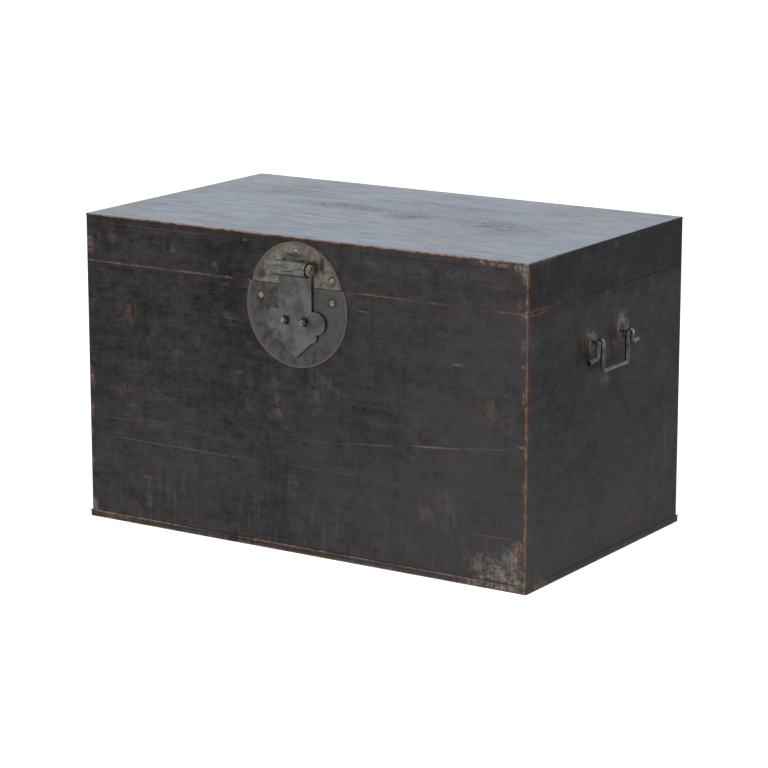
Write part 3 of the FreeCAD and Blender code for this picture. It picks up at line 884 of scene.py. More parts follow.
    def finish(
        self, name: str, body: str, slot: str, material: bpy.types.Material,
        stands_for: tuple[str, ...] = (), turned_out: bool = True, crease: float = 35.0,
    ) -> bpy.types.Object:
        """Makes the mesh a named piece of the trunk.

        Args:
            name: The piece's name.
            body: The body that it moves with.
            slot: The record's material slot. It is not used.
            material: Its finish.
            stands_for: The CAD nodes that it replaces.
            turned_out: True to work out afresh which way the faces point.
            crease: The turn, in degrees, above which an edge stays sharp.

        Returns:
            The piece.
        """
        if turned_out:
            bmesh.ops.remove_doubles(self.mesh, verts=self.mesh.verts, dist=WELD)
            bmesh.ops.recalc_face_normals(self.mesh, faces=self.mesh.faces)
        curved = self.curved()
        made = bpy.data.meshes.new(name)
        self.mesh.to_mesh(made)
        self.mesh.free()
        if LEFT_NORMALS in made.attributes:
            made.attributes.remove(made.attributes[LEFT_NORMALS])
        made.set_sharp_from_angle(angle=math.radians(crease))
        made.polygons.foreach_set("use_smooth", curved)
        made.materials.append(material)
        piece = placed(name, made)
        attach(piece, body)
        if stands_for:
            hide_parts(*stands_for)
        log.info("%s: %d faces, rides on %s", name, len(made.polygons), body)
        return piece


class ForgedRod(Form):
    """A bar that is drawn out end to end: straight runs and bends, from one cap to the other."""

    def __init__(self, start: Vector, heading: Vector, radius: float, sides: int) -> None:
        """Starts the bar with its first cap.

        Args:
            start: The middle of the first cap.
            heading: The way that the bar sets off.
            radius: The bar's radius.
            sides: Faces round it. A hammered bar has few.
        """
        super().__init__()
        self.tip = start.copy()
        self.heading = heading.normalized()
        self.radius = radius
        bmesh.ops.create_circle(self.mesh, cap_ends=True, radius=radius, segments=sides)
        turn = Vector((0, 0, 1)).rotation_difference(self.heading).to_matrix().to_4x4()
        bmesh.ops.transform(
            self.mesh, matrix=Matrix.Translation(start) @ turn, verts=self.mesh.verts
        )
        self.cap = list(self.mesh.faces)

    def run(self, length: float, swell: float = 1.0) -> "ForgedRod":
        """Draws the bar straight on.

        Args:
            length: How far.
            swell: The thickness at the far end, over that at the near end.

        Returns:
            The bar.
        """
        made = bmesh.ops.extrude_face_region(self.mesh, geom=self.cap)["geom"]
        verts = only(bmesh.types.BMVert, made)
        self.cap = only(bmesh.types.BMFace, made)
        step = self.heading * length
        bmesh.ops.translate(self.mesh, vec=step, verts=verts)
        self.tip += step
        if swell != 1.0:
            around = Matrix.Translation(-self.tip)
            bmesh.ops.scale(self.mesh, vec=(swell, swell, swell), space=around, verts=verts)
        return self

    def bend(self, to: Vector, radius: float, steps: int = 5) -> "ForgedRod":
        """Bends the bar to a new heading.

        Args:
            to: The new heading.
            radius: Radius of the bend, on the bar's middle line.
            steps: Faces along the bend.

        Returns:
            The bar.
        """
        new = to.normalized()
        axis = self.heading.cross(new).normalized()
        centre = self.tip + axis.cross(self.heading) * radius
        angle = self.heading.angle(new)
        made = bmesh.ops.spin(
            self.mesh, geom=self.cap, cent=centre, axis=axis, dvec=(0, 0, 0),
            angle=angle, steps=steps, use_merge=False, use_duplicate=False,
        )["geom_last"]
        self.cap = only(bmesh.types.BMFace, made)
        self.tip = centre + Matrix.Rotation(angle, 3, axis) @ (self.tip - centre)
        self.heading = new
        return self

    def follow(self, corners: list[Vector], radius: float) -> None:
        """Draws the bar along straight runs that meet at corners, each corner rounded.

        Args:
            corners: The corners ahead, and the bar's far end.
            radius: Radius of every bend, on the bar's middle line.
        """
        for corner, beyond in zip(corners, corners[1:]):
            ahead = (beyond - corner).normalized()
            tangent = radius * math.tan(self.heading.angle(ahead) / 2)
            self.stretch((corner - self.tip).length - tangent)
            self.bend(ahead, radius)
        self.stretch((corners[-1] - self.tip).length)

    def stretch(self, length: float, step: float = 5 * MM) -> None:
        """Draws the bar straight on in short steps, so that it can be hammered uneven.

        Args:
            length: How far.
            step: About how long each step is.
        """
        count = max(1, round(length / step))
        for _ in range(count):
            self.run(length / count)


FRONT, ENDS, RIGHT, TOP = Side
BARE_EDGE, RUBBED_WOOD, RUST, DUST, CHALK, CREAM, SOOT = Tone


def marks_on(side: Side, *rows: tuple) -> tuple[Mark, ...]:
    """Puts marks on one side. A row says what Mark asks for after its side."""
    return tuple(Mark(side, *row) for row in rows)


CASE_MARKS = marks_on(
    FRONT,
    # the joint between the front's two boards, and the long crack that rises to the right
    (-225, 127, 150, 0.8, DUST, 0.60, -0.3),
    (-60, 128, 60, 0.6, SOOT, 0.40, 0.3),
    (130, 128, 240, 0.6, DUST, 0.34, -0.4),
    (-290, 158, 90, 0.8, RUBBED_WOOD, 0.75, 3.1),
    (-190, 164, 40, 0.6, SOOT, 0.5, 2.3),
    (40, 169, 56, 0.7, DUST, 0.40, 2.5),
    (128, 177, 44, 1.0, DUST, 0.55, 5.0),
    (226, 187, 38, 1.3, BARE_EDGE, 0.50, 4.0),
    (312, 196, 56, 0.9, DUST, 0.50, 7.0),
    (322, 74, 38, 0.8, BARE_EDGE, 0.28, 2.0),
    # pale run and rubs low on the front
    (-266, 42, 5, 34, DUST, 0.75, 2.0),
    (-268, 74, 8, 4, BARE_EDGE, 0.35),
    (-300, 30, 22, 9, RUBBED_WOOD, 0.30),
    (-160, 12, 120, 5, RUBBED_WOOD, 0.45, 0.5),
    (100, 14, 90, 6, RUBBED_WOOD, 0.30),
    (318, 34, 46, 15, RUBBED_WOOD, 0.50, -4.0),
    (330, 26, 42, 18, CHALK, 0.85, -12.0),
    (352, 46, 18, 16, CHALK, 0.75, 20.0),
    (340, 14, 42, 8, CHALK, 1.10, 2.0),
    (362, 62, 7, 13, BARE_EDGE, 0.60),
    # small rubs and scratches over the rest of the front
    (-124, 379, 8, 2.5, DUST, 0.6, 10),
    (-264, 282, 3, 7, DUST, 0.5, 12),
    (112, 365, 14, 1.0, CHALK, 0.22, -3),
    (265, 308, 9, 1.3, CHALK, 0.36, 3),
    (-298, 320, 14, 20, RUBBED_WOOD, 0.75),
    (-308, 203, 14, 12, RUBBED_WOOD, 0.75),
    (-38, 203, 15, 12, RUBBED_WOOD, 0.70),
    (-35, 215, 6, 36, DUST, 0.45, 8),
    (318, 252, 12, 20, BARE_EDGE, 0.17),
    (345, 236, 10, 16, BARE_EDGE, 0.22),
    (300, 240, 22, 10, RUBBED_WOOD, 0.40),
    (213, 92, 12, 12, BARE_EDGE, 0.22),
    (237, 114, 8, 10, BARE_EDGE, 0.16),
    (139, 27, 11, 9, BARE_EDGE, 0.40),
    (250, 96, 14, 34, DUST, 0.50, 4),
    (60, 250, 40, 9, DUST, 0.34, -32),
    (30, 238, 16, 22, DUST, 0.30),
    # nicks in the two front corners
    (-371, 217, 5, 13, BARE_EDGE, 0.65),
    (-371, 165, 6, 10, BARE_EDGE, 0.55),
    (-372, 130, 4, 4, CHALK, 0.50),
    (-372, 85, 4, 7, BARE_EDGE, 0.50),
    (-370, 17, 6, 13, BARE_EDGE, 0.60),
    (369, 384, 5, 6, CHALK, 0.45),
    (369, 346, 4, 9, CHALK, 0.50),
    (368, 317, 3, 3, CHALK, 0.60),
    (369, 272, 4, 12, CHALK, 0.45),
    (367, 206, 8, 2, CHALK, 0.60),
    (371, 150, 3, 9, BARE_EDGE, 0.35),
    (364, 68, 7, 8, BARE_EDGE, 0.60),
    (368, 28, 6, 5, CHALK, 0.60),
) + marks_on(
    ENDS,
    # where the end handles have knocked the lacquer off
    (42, 325, 17, 23, CREAM, 1.50, 22),
    (50, 344, 11, 8, RUST, 0.50),
    (20, 316, 7, 20, RUST, 0.70),
    (-47, 324, 15, 19, CREAM, 1.20, 12),
    (-71, 320, 5, 25, RUST, 0.90),
    (-61, 330, 4, 20, RUST, 0.80),
    (-52, 342, 14, 8, RUST, 0.60),
    (-8, 294, 24, 14, RUST, 0.70, -20),
    (-7, 262, 13, 10, CREAM, 0.55),
    (62, 286, 9, 14, RUBBED_WOOD, 0.55),
) + marks_on(
    RIGHT,
    (182, 130, 9, 62, RUST, 0.55),
    (150, 55, 44, 14, RUBBED_WOOD, 0.55),
    (60, 34, 90, 12, RUBBED_WOOD, 0.50),
    (-90, 70, 34, 22, RUBBED_WOOD, 0.40),
    (140, 186, 46, 1.0, SOOT, 0.6, 6),
)

BASE_MARKS = marks_on(
    FRONT,
    (332, 5, 62, 6, CHALK, 1.20),
    (120, 2, 90, 3, CHALK, 0.40),
    (-130, 2, 110, 3, CHALK, 0.40),
    (-330, 6, 40, 3, BARE_EDGE, 0.40),
) + marks_on(
    RIGHT,
    (-200, 5, 40, 5, CHALK, 0.60),
    (40, 3, 120, 3, DUST, 0.60),
)

LID_MARKS = marks_on(
    FRONT,
    # the line between the top board and the front rail, and a nail head beside it
    (-232, 447, 142, 0.7, RUBBED_WOOD, 0.55),
    (-88, 446, 3.2, 2.4, CHALK, 0.80),
    (190, 447, 170, 0.6, SOOT, 0.5),
    (-219, 419, 14, 5, DUST, 0.60, 12),
    (-370, 411, 7, 14, BARE_EDGE, 0.80),
    (-330, 425, 22, 10, RUBBED_WOOD, 0.60),
    (330, 424, 26, 12, RUBBED_WOOD, 0.50),
    (250, 432, 60, 5, DUST, 0.35),
    (366, 446, 9, 8, BARE_EDGE, 0.50),
    (366, 402, 8, 6, BARE_EDGE, 0.35),
    (303, 455, 5, 4, CHALK, 0.85),
    (334, 453, 34, 3, BARE_EDGE, 0.75),
    (364, 452, 12, 6, CHALK, 0.80),
    (370, 442, 4, 13, CHALK, 0.60),
) + marks_on(
    RIGHT,
    (-190, 447, 30, 0.8, SOOT, 0.5),
) + marks_on(
    TOP,
    # stains and worm-brown specks on the top
    (-85, 30, 130, 22, SOOT, 1.10),
    (-28, 22, 60, 12, RUBBED_WOOD, 0.90),
    (42, 8, 46, 34, SOOT, 1.00),
    (190, 2, 96, 46, SOOT, 0.90, -25),
    (170, -104, 48, 20, RUBBED_WOOD, 1.00),
    (60, 110, 130, 26, SOOT, 0.55),
    (-240, 90, 90, 30, SOOT, 0.40),
    (303, -219, 6, 4, CHALK, 0.80),
    (367, -216, 9, 7, CHALK, 0.50),
    (-260, -122, 18, 10, RUBBED_WOOD, 1.40),
    (-206, -119, 13, 9, RUBBED_WOOD, 1.40),
    (163, -79, 13, 10, RUBBED_WOOD, 1.50),
    (239, -115, 13, 9, RUBBED_WOOD, 1.50),
    (239, -50, 13, 10, RUBBED_WOOD, 1.50),
    (164, 49, 13, 12, RUBBED_WOOD, 1.30),
    (350, 82, 12, 12, RUBBED_WOOD, 1.30),
    (300, 120, 12, 7, RUBBED_WOOD, 0.70),
)


@dataclass
class Woodwork:
    """The boards, dowels and pegs of case and lid, as the joiner made them."""

    corner: float = 3.0 * MM
    seam_edge: float = 1.2 * MM
    near: float = 0.05 * MM
    walls: tuple[str, ...] = (
        "front_plank_lower", "front_plank_upper", "back_plank_lower", "back_plank_upper",
        "left_plank_lower", "left_plank_upper", "right_plank_lower", "right_plank_upper",
    )
    rims: tuple[str, ...] = ("lid_front_rim", "lid_back_rim", "lid_left_rim", "lid_right_rim")

    def __post_init__(self) -> None:
        """Measures the case, base and lid, and mixes their three finishes."""
        self.case = Box.around(*self.walls)
        self.base = Box.around("base_panel")
        self.lid = Box.around(*self.rims, "lid_top_panel")
        deep = Vector((0, 0, 1.0))
        painted_case = Box(self.case.low - deep, self.case.high)
        painted_base = Box(self.base.low - deep, self.base.high + deep)
        self.case_finish = Lacquer("case_lacquer", painted_case, self.case, CASE_MARKS).build()
        self.base_finish = Lacquer(
            "base_lacquer", painted_base, self.base, BASE_MARKS, wear_width=1.9, side_wear=0.6,
            edge=(0.250, 0.180, 0.135), broken=0.8
        ).build()
        lid = Lacquer("lid_lacquer", self.lid, self.lid, LID_MARKS)
        self.lid_finish = lid.build()
        self.top_finish = lid.build(lid.top_shine)

    def on_faces(self, edge: bmesh.types.BMEdge, box: Box) -> int:
        """Counts the outer faces of a box that an edge lies in.

        Args:
            edge: The edge.
            box: The box.

        Returns:
            How many of X, Y and Z faces hold both its ends.
        """
        count = 0
        for axis in range(3):
            for level in (box.low[axis], box.high[axis]):
                count += all(abs(vert.co[axis] - level) < self.near for vert in edge.verts)
        return count

    def upright(self, edge: bmesh.types.BMEdge) -> bool:
        """Tells whether an edge stands upright."""
        way = edge.verts[1].co - edge.verts[0].co
        return abs(way.z) > 0.99 * way.length

    def dress(
        self, node: str, box: Box, body: str, finish: bpy.types.Material
    ) -> bpy.types.Object:
        """Copies a board, rounds its outer arrises and lacquers it.

        Args:
            node: The board's CAD node.
            box: The box that its outer faces lie in.
            body: The body that it moves with.
            finish: Its lacquer.

        Returns:
            The board.
        """
        board = Form.copied(node)
        outer = [edge for edge in board.sharp_edges() if self.on_faces(edge, box) >= 2]
        corners = [edge for edge in outer if self.upright(edge)]
        board.soften(corners, self.corner, 3)
        outer = [edge for edge in board.sharp_edges() if self.on_faces(edge, box) >= 2]
        board.soften([edge for edge in outer if not self.upright(edge)], self.seam_edge, 2)
        return board.finish(
            f"{node}_lacquered", body, "lacquered_wood", finish, (node,), False
        )

    def polish(self, board: bpy.types.Object) -> None:
        """Gives the level upper faces of a lid board the shinier lacquer of the top.

        Args:
            board: The board.
        """
        board.data.materials.append(self.top_finish)
        for face in board.data.polygons:
            if face.normal.z > 0.7 and face.center.z > self.lid.high.z - self.corner:
                face.material_index = 1

    def paint_node(self, node: str, finish: bpy.types.Material) -> None:
        """Gives a CAD node that stays as it is a finish.

        Args:
            node: The node.
            finish: Its material.
        """
        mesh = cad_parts[node].data
        mesh.materials.clear()
        mesh.materials.append(finish)
        log.info("%s: keeps its CAD shape", node)

    def build(self) -> None:
        """Dresses every wooden piece."""
        for node in self.walls:
            self.dress(node, self.case, "case", self.case_finish)
        self.dress("base_panel", self.base, "case", self.base_finish)
        for node in (*self.rims, "lid_top_panel"):
            self.polish(self.dress(node, self.lid, "lid", self.lid_finish))
        self.paint_node("plank_dowels", self.case_finish)
        self.paint_node("base_pegs", self.base_finish)
        self.paint_node("lid_top_pegs", self.top_finish)


PLATE_LOWER = dict(
    body=(0.048, 0.049, 0.047), light=(0.090, 0.090, 0.086), stain=(0.030, 0.024, 0.022),
    streak=(0.110, 0.104, 0.094), stained=0.4, streaked=0.45, bright_side=0.45, coarse=10,
    shades=((60, 371, 8, 8), (-60, 371, 7, 7), (-60, 360, 5, 12)),
)
# Upper plate: the first of its shades is painted shade in the crease above the knuckle; the others are dark
# spots round the nails and beside the pin head.
PLATE_UPPER = dict(
    body=(0.098, 0.090, 0.079), light=(0.205, 0.184, 0.152), stain=(0.086, 0.062, 0.050),
    streak=(0.335, 0.272, 0.190), stained=0.45, streaked=0.90, coarse=9, run=(4.0, 4.0, 13),
    shades=((-3, 433, 18, 3.4), (60, 402, 8, 8), (-60, 402, 9, 9), (44, 424, 4, 12)),
)


@dataclass(frozen=True)
class Metals:
    """The finishes of the lock and the ironwork."""

    hasp: OldMetal = OldMetal(
        "hasp_metal", (0.066, 0.067, 0.069), (0.142, 0.139, 0.134), (0.098, 0.066, 0.058),
        (0.140, 0.122, 0.102), 0.40, 0.30, roughness=0.40, coarse=20,
    )
    roll: OldMetal = OldMetal(
        "hasp_roll_metal", (0.105, 0.107, 0.105), (0.200, 0.196, 0.187), (0.070, 0.062, 0.056),
        (0.046, 0.044, 0.042), 0.35, 0.55, roughness=0.38, coarse=12, depth=0.15,
        run=(30, 2.4, 2.4),
    )
    nail: OldMetal = OldMetal(
        "lock_nail_metal", (0.130, 0.112, 0.096), (0.400, 0.375, 0.350), (0.150, 0.070, 0.034),
        (0.220, 0.150, 0.090), 0.5, 0.2, roughness=0.24, coarse=5,
    )
    lost_nail: OldMetal = OldMetal(
        "lost_nail_rust", (0.018, 0.014, 0.012), (0.060, 0.040, 0.030), (0.090, 0.050, 0.030),
        (0.060, 0.040, 0.030), 0.5, 0.2, metallic=0.2, roughness=0.6, coarse=4,
    )
    rusty_nail: OldMetal = OldMetal(
        "rusty_nail_metal", (0.200, 0.095, 0.045), (0.340, 0.300, 0.270), (0.250, 0.110, 0.045),
        (0.220, 0.120, 0.060), 0.7, 0.2, metallic=0.6, roughness=0.30, coarse=4,
    )
    eye: OldMetal = OldMetal(
        "lock_eye_metal", (0.120, 0.098, 0.076), (0.300, 0.265, 0.215), (0.060, 0.042, 0.032),
        (0.200, 0.150, 0.105), 0.5, 0.2, roughness=0.34, coarse=4,
    )
    rust: OldMetal = OldMetal(
        "pin_rust", (0.118, 0.078, 0.062), (0.300, 0.236, 0.200), (0.040, 0.022, 0.018),
        (0.180, 0.120, 0.090), 0.9, 0.2, metallic=0.2, roughness=0.62, coarse=3, depth=0.9,
    )
    handle: OldMetal = OldMetal(
        "handle_iron", (0.044, 0.043, 0.041), (0.128, 0.126, 0.120), (0.040, 0.030, 0.025),
        (0.100, 0.090, 0.078), 0.30, 0.2, metallic=0.8, roughness=0.34, coarse=7, depth=0.4,
    )
    # The eyes' iron: the handle's iron lightened all over as a painted highlight.
    staple_painted_highlight: OldMetal = OldMetal(
        "bail_eye_iron_painted_highlight", (0.085, 0.084, 0.080), (0.300, 0.292, 0.275), (0.050, 0.038, 0.032),
        (0.160, 0.145, 0.125), 0.30, 0.2, metallic=0.8, roughness=0.30, coarse=5, depth=0.4,
    )
    hinge: OldMetal = OldMetal(
        "hinge_iron", (0.040, 0.038, 0.036), (0.095, 0.088, 0.080), (0.085, 0.044, 0.028),
        (0.090, 0.066, 0.048), 0.5, 0.3, metallic=0.75, roughness=0.48, coarse=12, depth=0.4,
    )


@dataclass
class Lock:
    """The round lock: two plates, their nails, the hasp on its pin and the two eyes."""

    thickness: float = 1.2 * MM
    rim_steps: int = 180
    plate_edge: float = 0.45 * MM
    nail_head: float = 4.7 * MM
    crown_head: float = 2.8 * MM
    dome: float = 2.6 * MM
    nail_spread: float = 60 * MM
    upper_nail: float = 402 * MM
    lower_nail: float = 371 * MM
    crown_nail: float = 440 * MM
    axis_y: float = -235.5 * MM
    axis_z: float = 416 * MM
    roll_radius: float = 11 * MM
    sheet: float = 2.2 * MM
    knuckle: float = 22 * MM
    neck: float = 55 * MM
    gap: float = 0.3 * MM
    pin_radius: float = 5 * MM
    head_radius: float = 8.5 * MM
    head_length: float = 8 * MM
    hasp_edge: float = 0.6 * MM
    eye_edge: float = 0.7 * MM
    roll_turn: float = 355.0
    roll_steps: int = 48
    lip_swing: float = 0.22
    lip_thinning: float = 0.02
    roll_dents: float = 0.018
    head_dents: float = 0.8 * MM
    nail_dents: float = 0.25 * MM
    dent_grain: float = 2.5 * MM
    dome_steps: int = 7
    nail_sides: int = 26

    def __post_init__(self) -> None:
        """Measures the plates on the frame and mixes their metals."""
        self.metals = Metals()
        lower, upper = Box.around("lower_lock_plate"), Box.around("upper_lock_plate")
        self.front = lower.high.y
        self.seam_low, self.seam_high = lower.high.z, upper.low.z
        self.lower_radius = lower.half.x
        self.lower_centre = lower.low.z + self.lower_radius
        rise = upper.high.z - upper.low.z
        self.upper_radius = (upper.half.x**2 + rise**2) / (2 * rise)
        self.upper_centre = upper.high.z - self.upper_radius
        self.lower_metal = LockPlateMetal(
            "lower_plate_metal", centre_z=self.lower_centre, radius=self.lower_radius,
            **PLATE_LOWER,
        ).build()
        self.upper_metal = LockPlateMetal(
            "upper_plate_metal", centre_z=self.upper_centre, radius=self.upper_radius,
            **PLATE_UPPER,
        ).build()

    def plate(self, radius: float, centre_z: float, chord_z: float, below: bool) -> Form:
        """Cuts a round plate off along a level chord.

        Args:
            radius: The disc's radius.
            centre_z: Height of its centre.
            chord_z: Height of the chord.
            below: True to keep what is below the chord.

        Returns:
            The plate, with its front rim eased.
        """
        form = Form()
        made = bmesh.ops.create_circle(
            form.mesh, cap_ends=True, radius=radius, segments=self.rim_steps
        )["verts"]
        stand = Matrix.Translation((0, self.front, centre_z)) @ Matrix.Rotation(math.pi / 2, 4, "X")
        bmesh.ops.transform(form.mesh, matrix=stand, verts=made)
        form.cut_off(chord_z, below)
        face = bmesh.ops.extrude_face_region(form.mesh, geom=form.mesh.faces[:])["geom"]
        verts = only(bmesh.types.BMVert, face)
        bmesh.ops.translate(form.mesh, vec=(0, -self.thickness, 0), verts=verts)
        rim = [edge for edge in form.mesh.edges if all(vert in verts for vert in edge.verts)]
        form.soften(rim, self.plate_edge, 2)
        return form

    def roll(self, form: Form, low: float, high: float, lip: float) -> None:
        """Rolls a sheet round the pin, with a wavy lip where the sheet ends.

        Args:
            form: The mesh that gets it.
            low: Where the roll starts along X.
            high: Where it ends.
            lip: Where its lip lies, in degrees up from the front.
        """
        before = set(form.mesh.verts)
        across = max(4, round((high - low) / (3 * MM)))
        start = bmesh.ops.create_grid(form.mesh, x_segments=across, y_segments=1, size=0.5)
        wall = Vector((high - low, self.sheet, 1))
        bmesh.ops.scale(form.mesh, vec=wall, verts=start["verts"])
        place = Vector(((low + high) / 2, -(self.roll_radius - self.sheet / 2), 0))
        bmesh.ops.translate(form.mesh, vec=place, verts=start["verts"])
        faces = [face for face in form.mesh.faces if face.verts[0] not in before]
        bmesh.ops.spin(
            form.mesh, geom=faces, cent=(0, 0, 0), axis=(1, 0, 0), dvec=(0, 0, 0),
            angle=math.radians(self.roll_turn), steps=self.roll_steps, use_merge=False, use_duplicate=False,
        )
        made = [vert for vert in form.mesh.verts if vert not in before]
        for vert in made:
            wave = noise.noise(Vector((vert.co.x / (6 * MM), 3.0, lip)))
            vert.co = Matrix.Rotation(self.lip_swing * wave, 3, "X") @ vert.co
            uneven = noise.noise(vert.co / (7 * MM))
            vert.co.yz *= 1 - self.lip_thinning * abs(wave) + self.roll_dents * uneven
        turn = Matrix.Rotation(math.radians(-lip), 4, "X")
        middle = Matrix.Translation((0, self.axis_y, self.axis_z))
        bmesh.ops.transform(form.mesh, matrix=middle @ turn, verts=made)

    def hasp(self) -> None:
        """Makes the hasp: its cut sheet and the two rolls that hold it to the pin."""
        form = Form.copied("hasp")
        edges = form.cut_off(self.axis_z - self.roll_radius + self.sheet, True)
        bmesh.ops.holes_fill(form.mesh, edges=edges, sides=0)
        form.soften(form.sharp_edges(50), self.hasp_edge, 2)
        form.finish("hasp_blade", "hasp", "aged_brass", self.metals.hasp.build(), ("hasp",))
        near = self.knuckle / 2 + self.gap
        metal = self.metals.roll.build()
        for name, low, high, lip in (
            ("hasp_roll_left", -self.neck / 2, -near, 24.0),
            ("hasp_roll_right", near, self.neck / 2, 10.0),
        ):
            rolled = Form()
            self.roll(rolled, low, high, lip)
            rolled.finish(name, "hasp", "aged_brass", metal)
        knuckle = Form()
        self.roll(knuckle, -self.knuckle / 2, self.knuckle / 2, -14.0)
        knuckle.block(
            Vector((-self.knuckle / 2, self.axis_y, self.axis_z + self.roll_radius - self.sheet)),
            Vector((self.knuckle / 2, self.front - self.thickness, self.axis_z + self.roll_radius)),
        )
        knuckle.finish("plate_knuckle", "lid", "aged_brass", metal)

    def pin(self) -> None:
        """Makes the rusty pin with its rough swollen head."""
        form = Form()
        end = self.neck / 2 + self.gap
        shank, head = self.pin_radius, self.head_radius
        outline = [
            (-2 * end, 0), (-2 * end, shank * 0.8), (-2 * end + 1 * MM, shank), (0, shank),
            (0.2 * MM, head * 0.86), (1.4 * MM, head), (self.head_length * 0.6, head * 0.97),
            (self.head_length - 1 * MM, head * 0.84), (self.head_length, head * 0.5),
            (self.head_length, 0),
        ]
        form.turned(outline, Vector((end, self.axis_y, self.axis_z)), "X", 28, False)
        near_head = [edge for edge in form.mesh.edges if edge.verts[0].co.x > end - 0.1 * MM]
        bmesh.ops.subdivide_edges(form.mesh, edges=near_head, cuts=1, use_grid_fill=True)
        head_verts = [vert for vert in form.mesh.verts if vert.co.x > end]
        form.roughen(head_verts, self.head_dents, 2.6 * MM)
        form.finish(
            "hasp_pin_rusty", "lid", "wrought_iron", self.metals.rust.build(),
            ("hasp_pivot_pin",), crease=60,
        )

    def nail(self, form: Form, x: float, z: float, head: float, dome: float) -> None:
        """Drives a domed nail into a plate.

        Args:
            form: The mesh that gets it.
            x: Its place along X.
            z: Its height.
            head: Radius of the head.
            dome: How far the head stands out.
        """
        turns = [math.radians(90 * step / self.dome_steps) for step in range(self.dome_steps + 1)]
        outline = [(-dome * math.cos(turn), head * math.sin(turn)) for turn in turns]
        outline += [(0.4 * MM, head * 0.9), (0.4 * MM, 0)]
        face = self.front - self.thickness
        made = form.turned(outline, Vector((x, face, z)), "Y", self.nail_sides, False)
        form.roughen(made, self.nail_dents, self.dent_grain)

    def nails(self) -> None:
        """Drives the five domed nails. One has rusted away to a dark stump."""
        left, right = -self.nail_spread, self.nail_spread
        lower = Form()
        self.nail(lower, right, self.lower_nail, self.nail_head, self.dome)
        lower.finish(
            "lower_right_nail", "case", "aged_brass", self.metals.nail.build(),
            ("lower_plate_nails",),
        )
        rusty = Form()
        self.nail(rusty, left, self.lower_nail, self.nail_head, self.dome)
        rusty.finish("lower_left_nail", "case", "aged_brass", self.metals.rusty_nail.build())
        upper = Form()
        self.nail(upper, right, self.upper_nail, self.nail_head, self.dome)
        self.nail(upper, 0, self.crown_nail, self.crown_head, self.dome * 0.7)
        upper.finish(
            "upper_domed_nails", "lid", "aged_brass", self.metals.nail.build(),
            ("upper_plate_nails",),
        )
        lost = Form()
        self.nail(lost, left, self.upper_nail, self.nail_head * 0.8, self.dome * 0.35)
        lost.finish("upper_left_stump", "lid", "aged_brass", self.metals.lost_nail.build())

    def eyes(self) -> None:
        """Makes the two lock eyes that stand through the hasp."""
        metal = self.metals.eye.build()
        for node in ("lock_eye_left", "lock_eye_right"):
            form = Form.copied(node)
            form.soften(form.sharp_edges(60), self.eye_edge, 2)
            form.finish(f"{node}_worn", "case", "aged_brass", metal, (node,), False)

    def build(self) -> None:
        """Builds every piece of the lock."""
        low = self.plate(self.lower_radius, self.lower_centre, self.seam_low, True)
        low.finish(
            "lower_plate_worn", "case", "aged_brass", self.lower_metal, ("lower_lock_plate",)
        )
        high = self.plate(self.upper_radius, self.upper_centre, self.seam_high, False)
        high.finish(
            "upper_plate_worn", "lid", "aged_brass", self.upper_metal, ("upper_lock_plate",)
        )
        self.hasp()
        self.pin()
        self.nails()
        self.eyes()


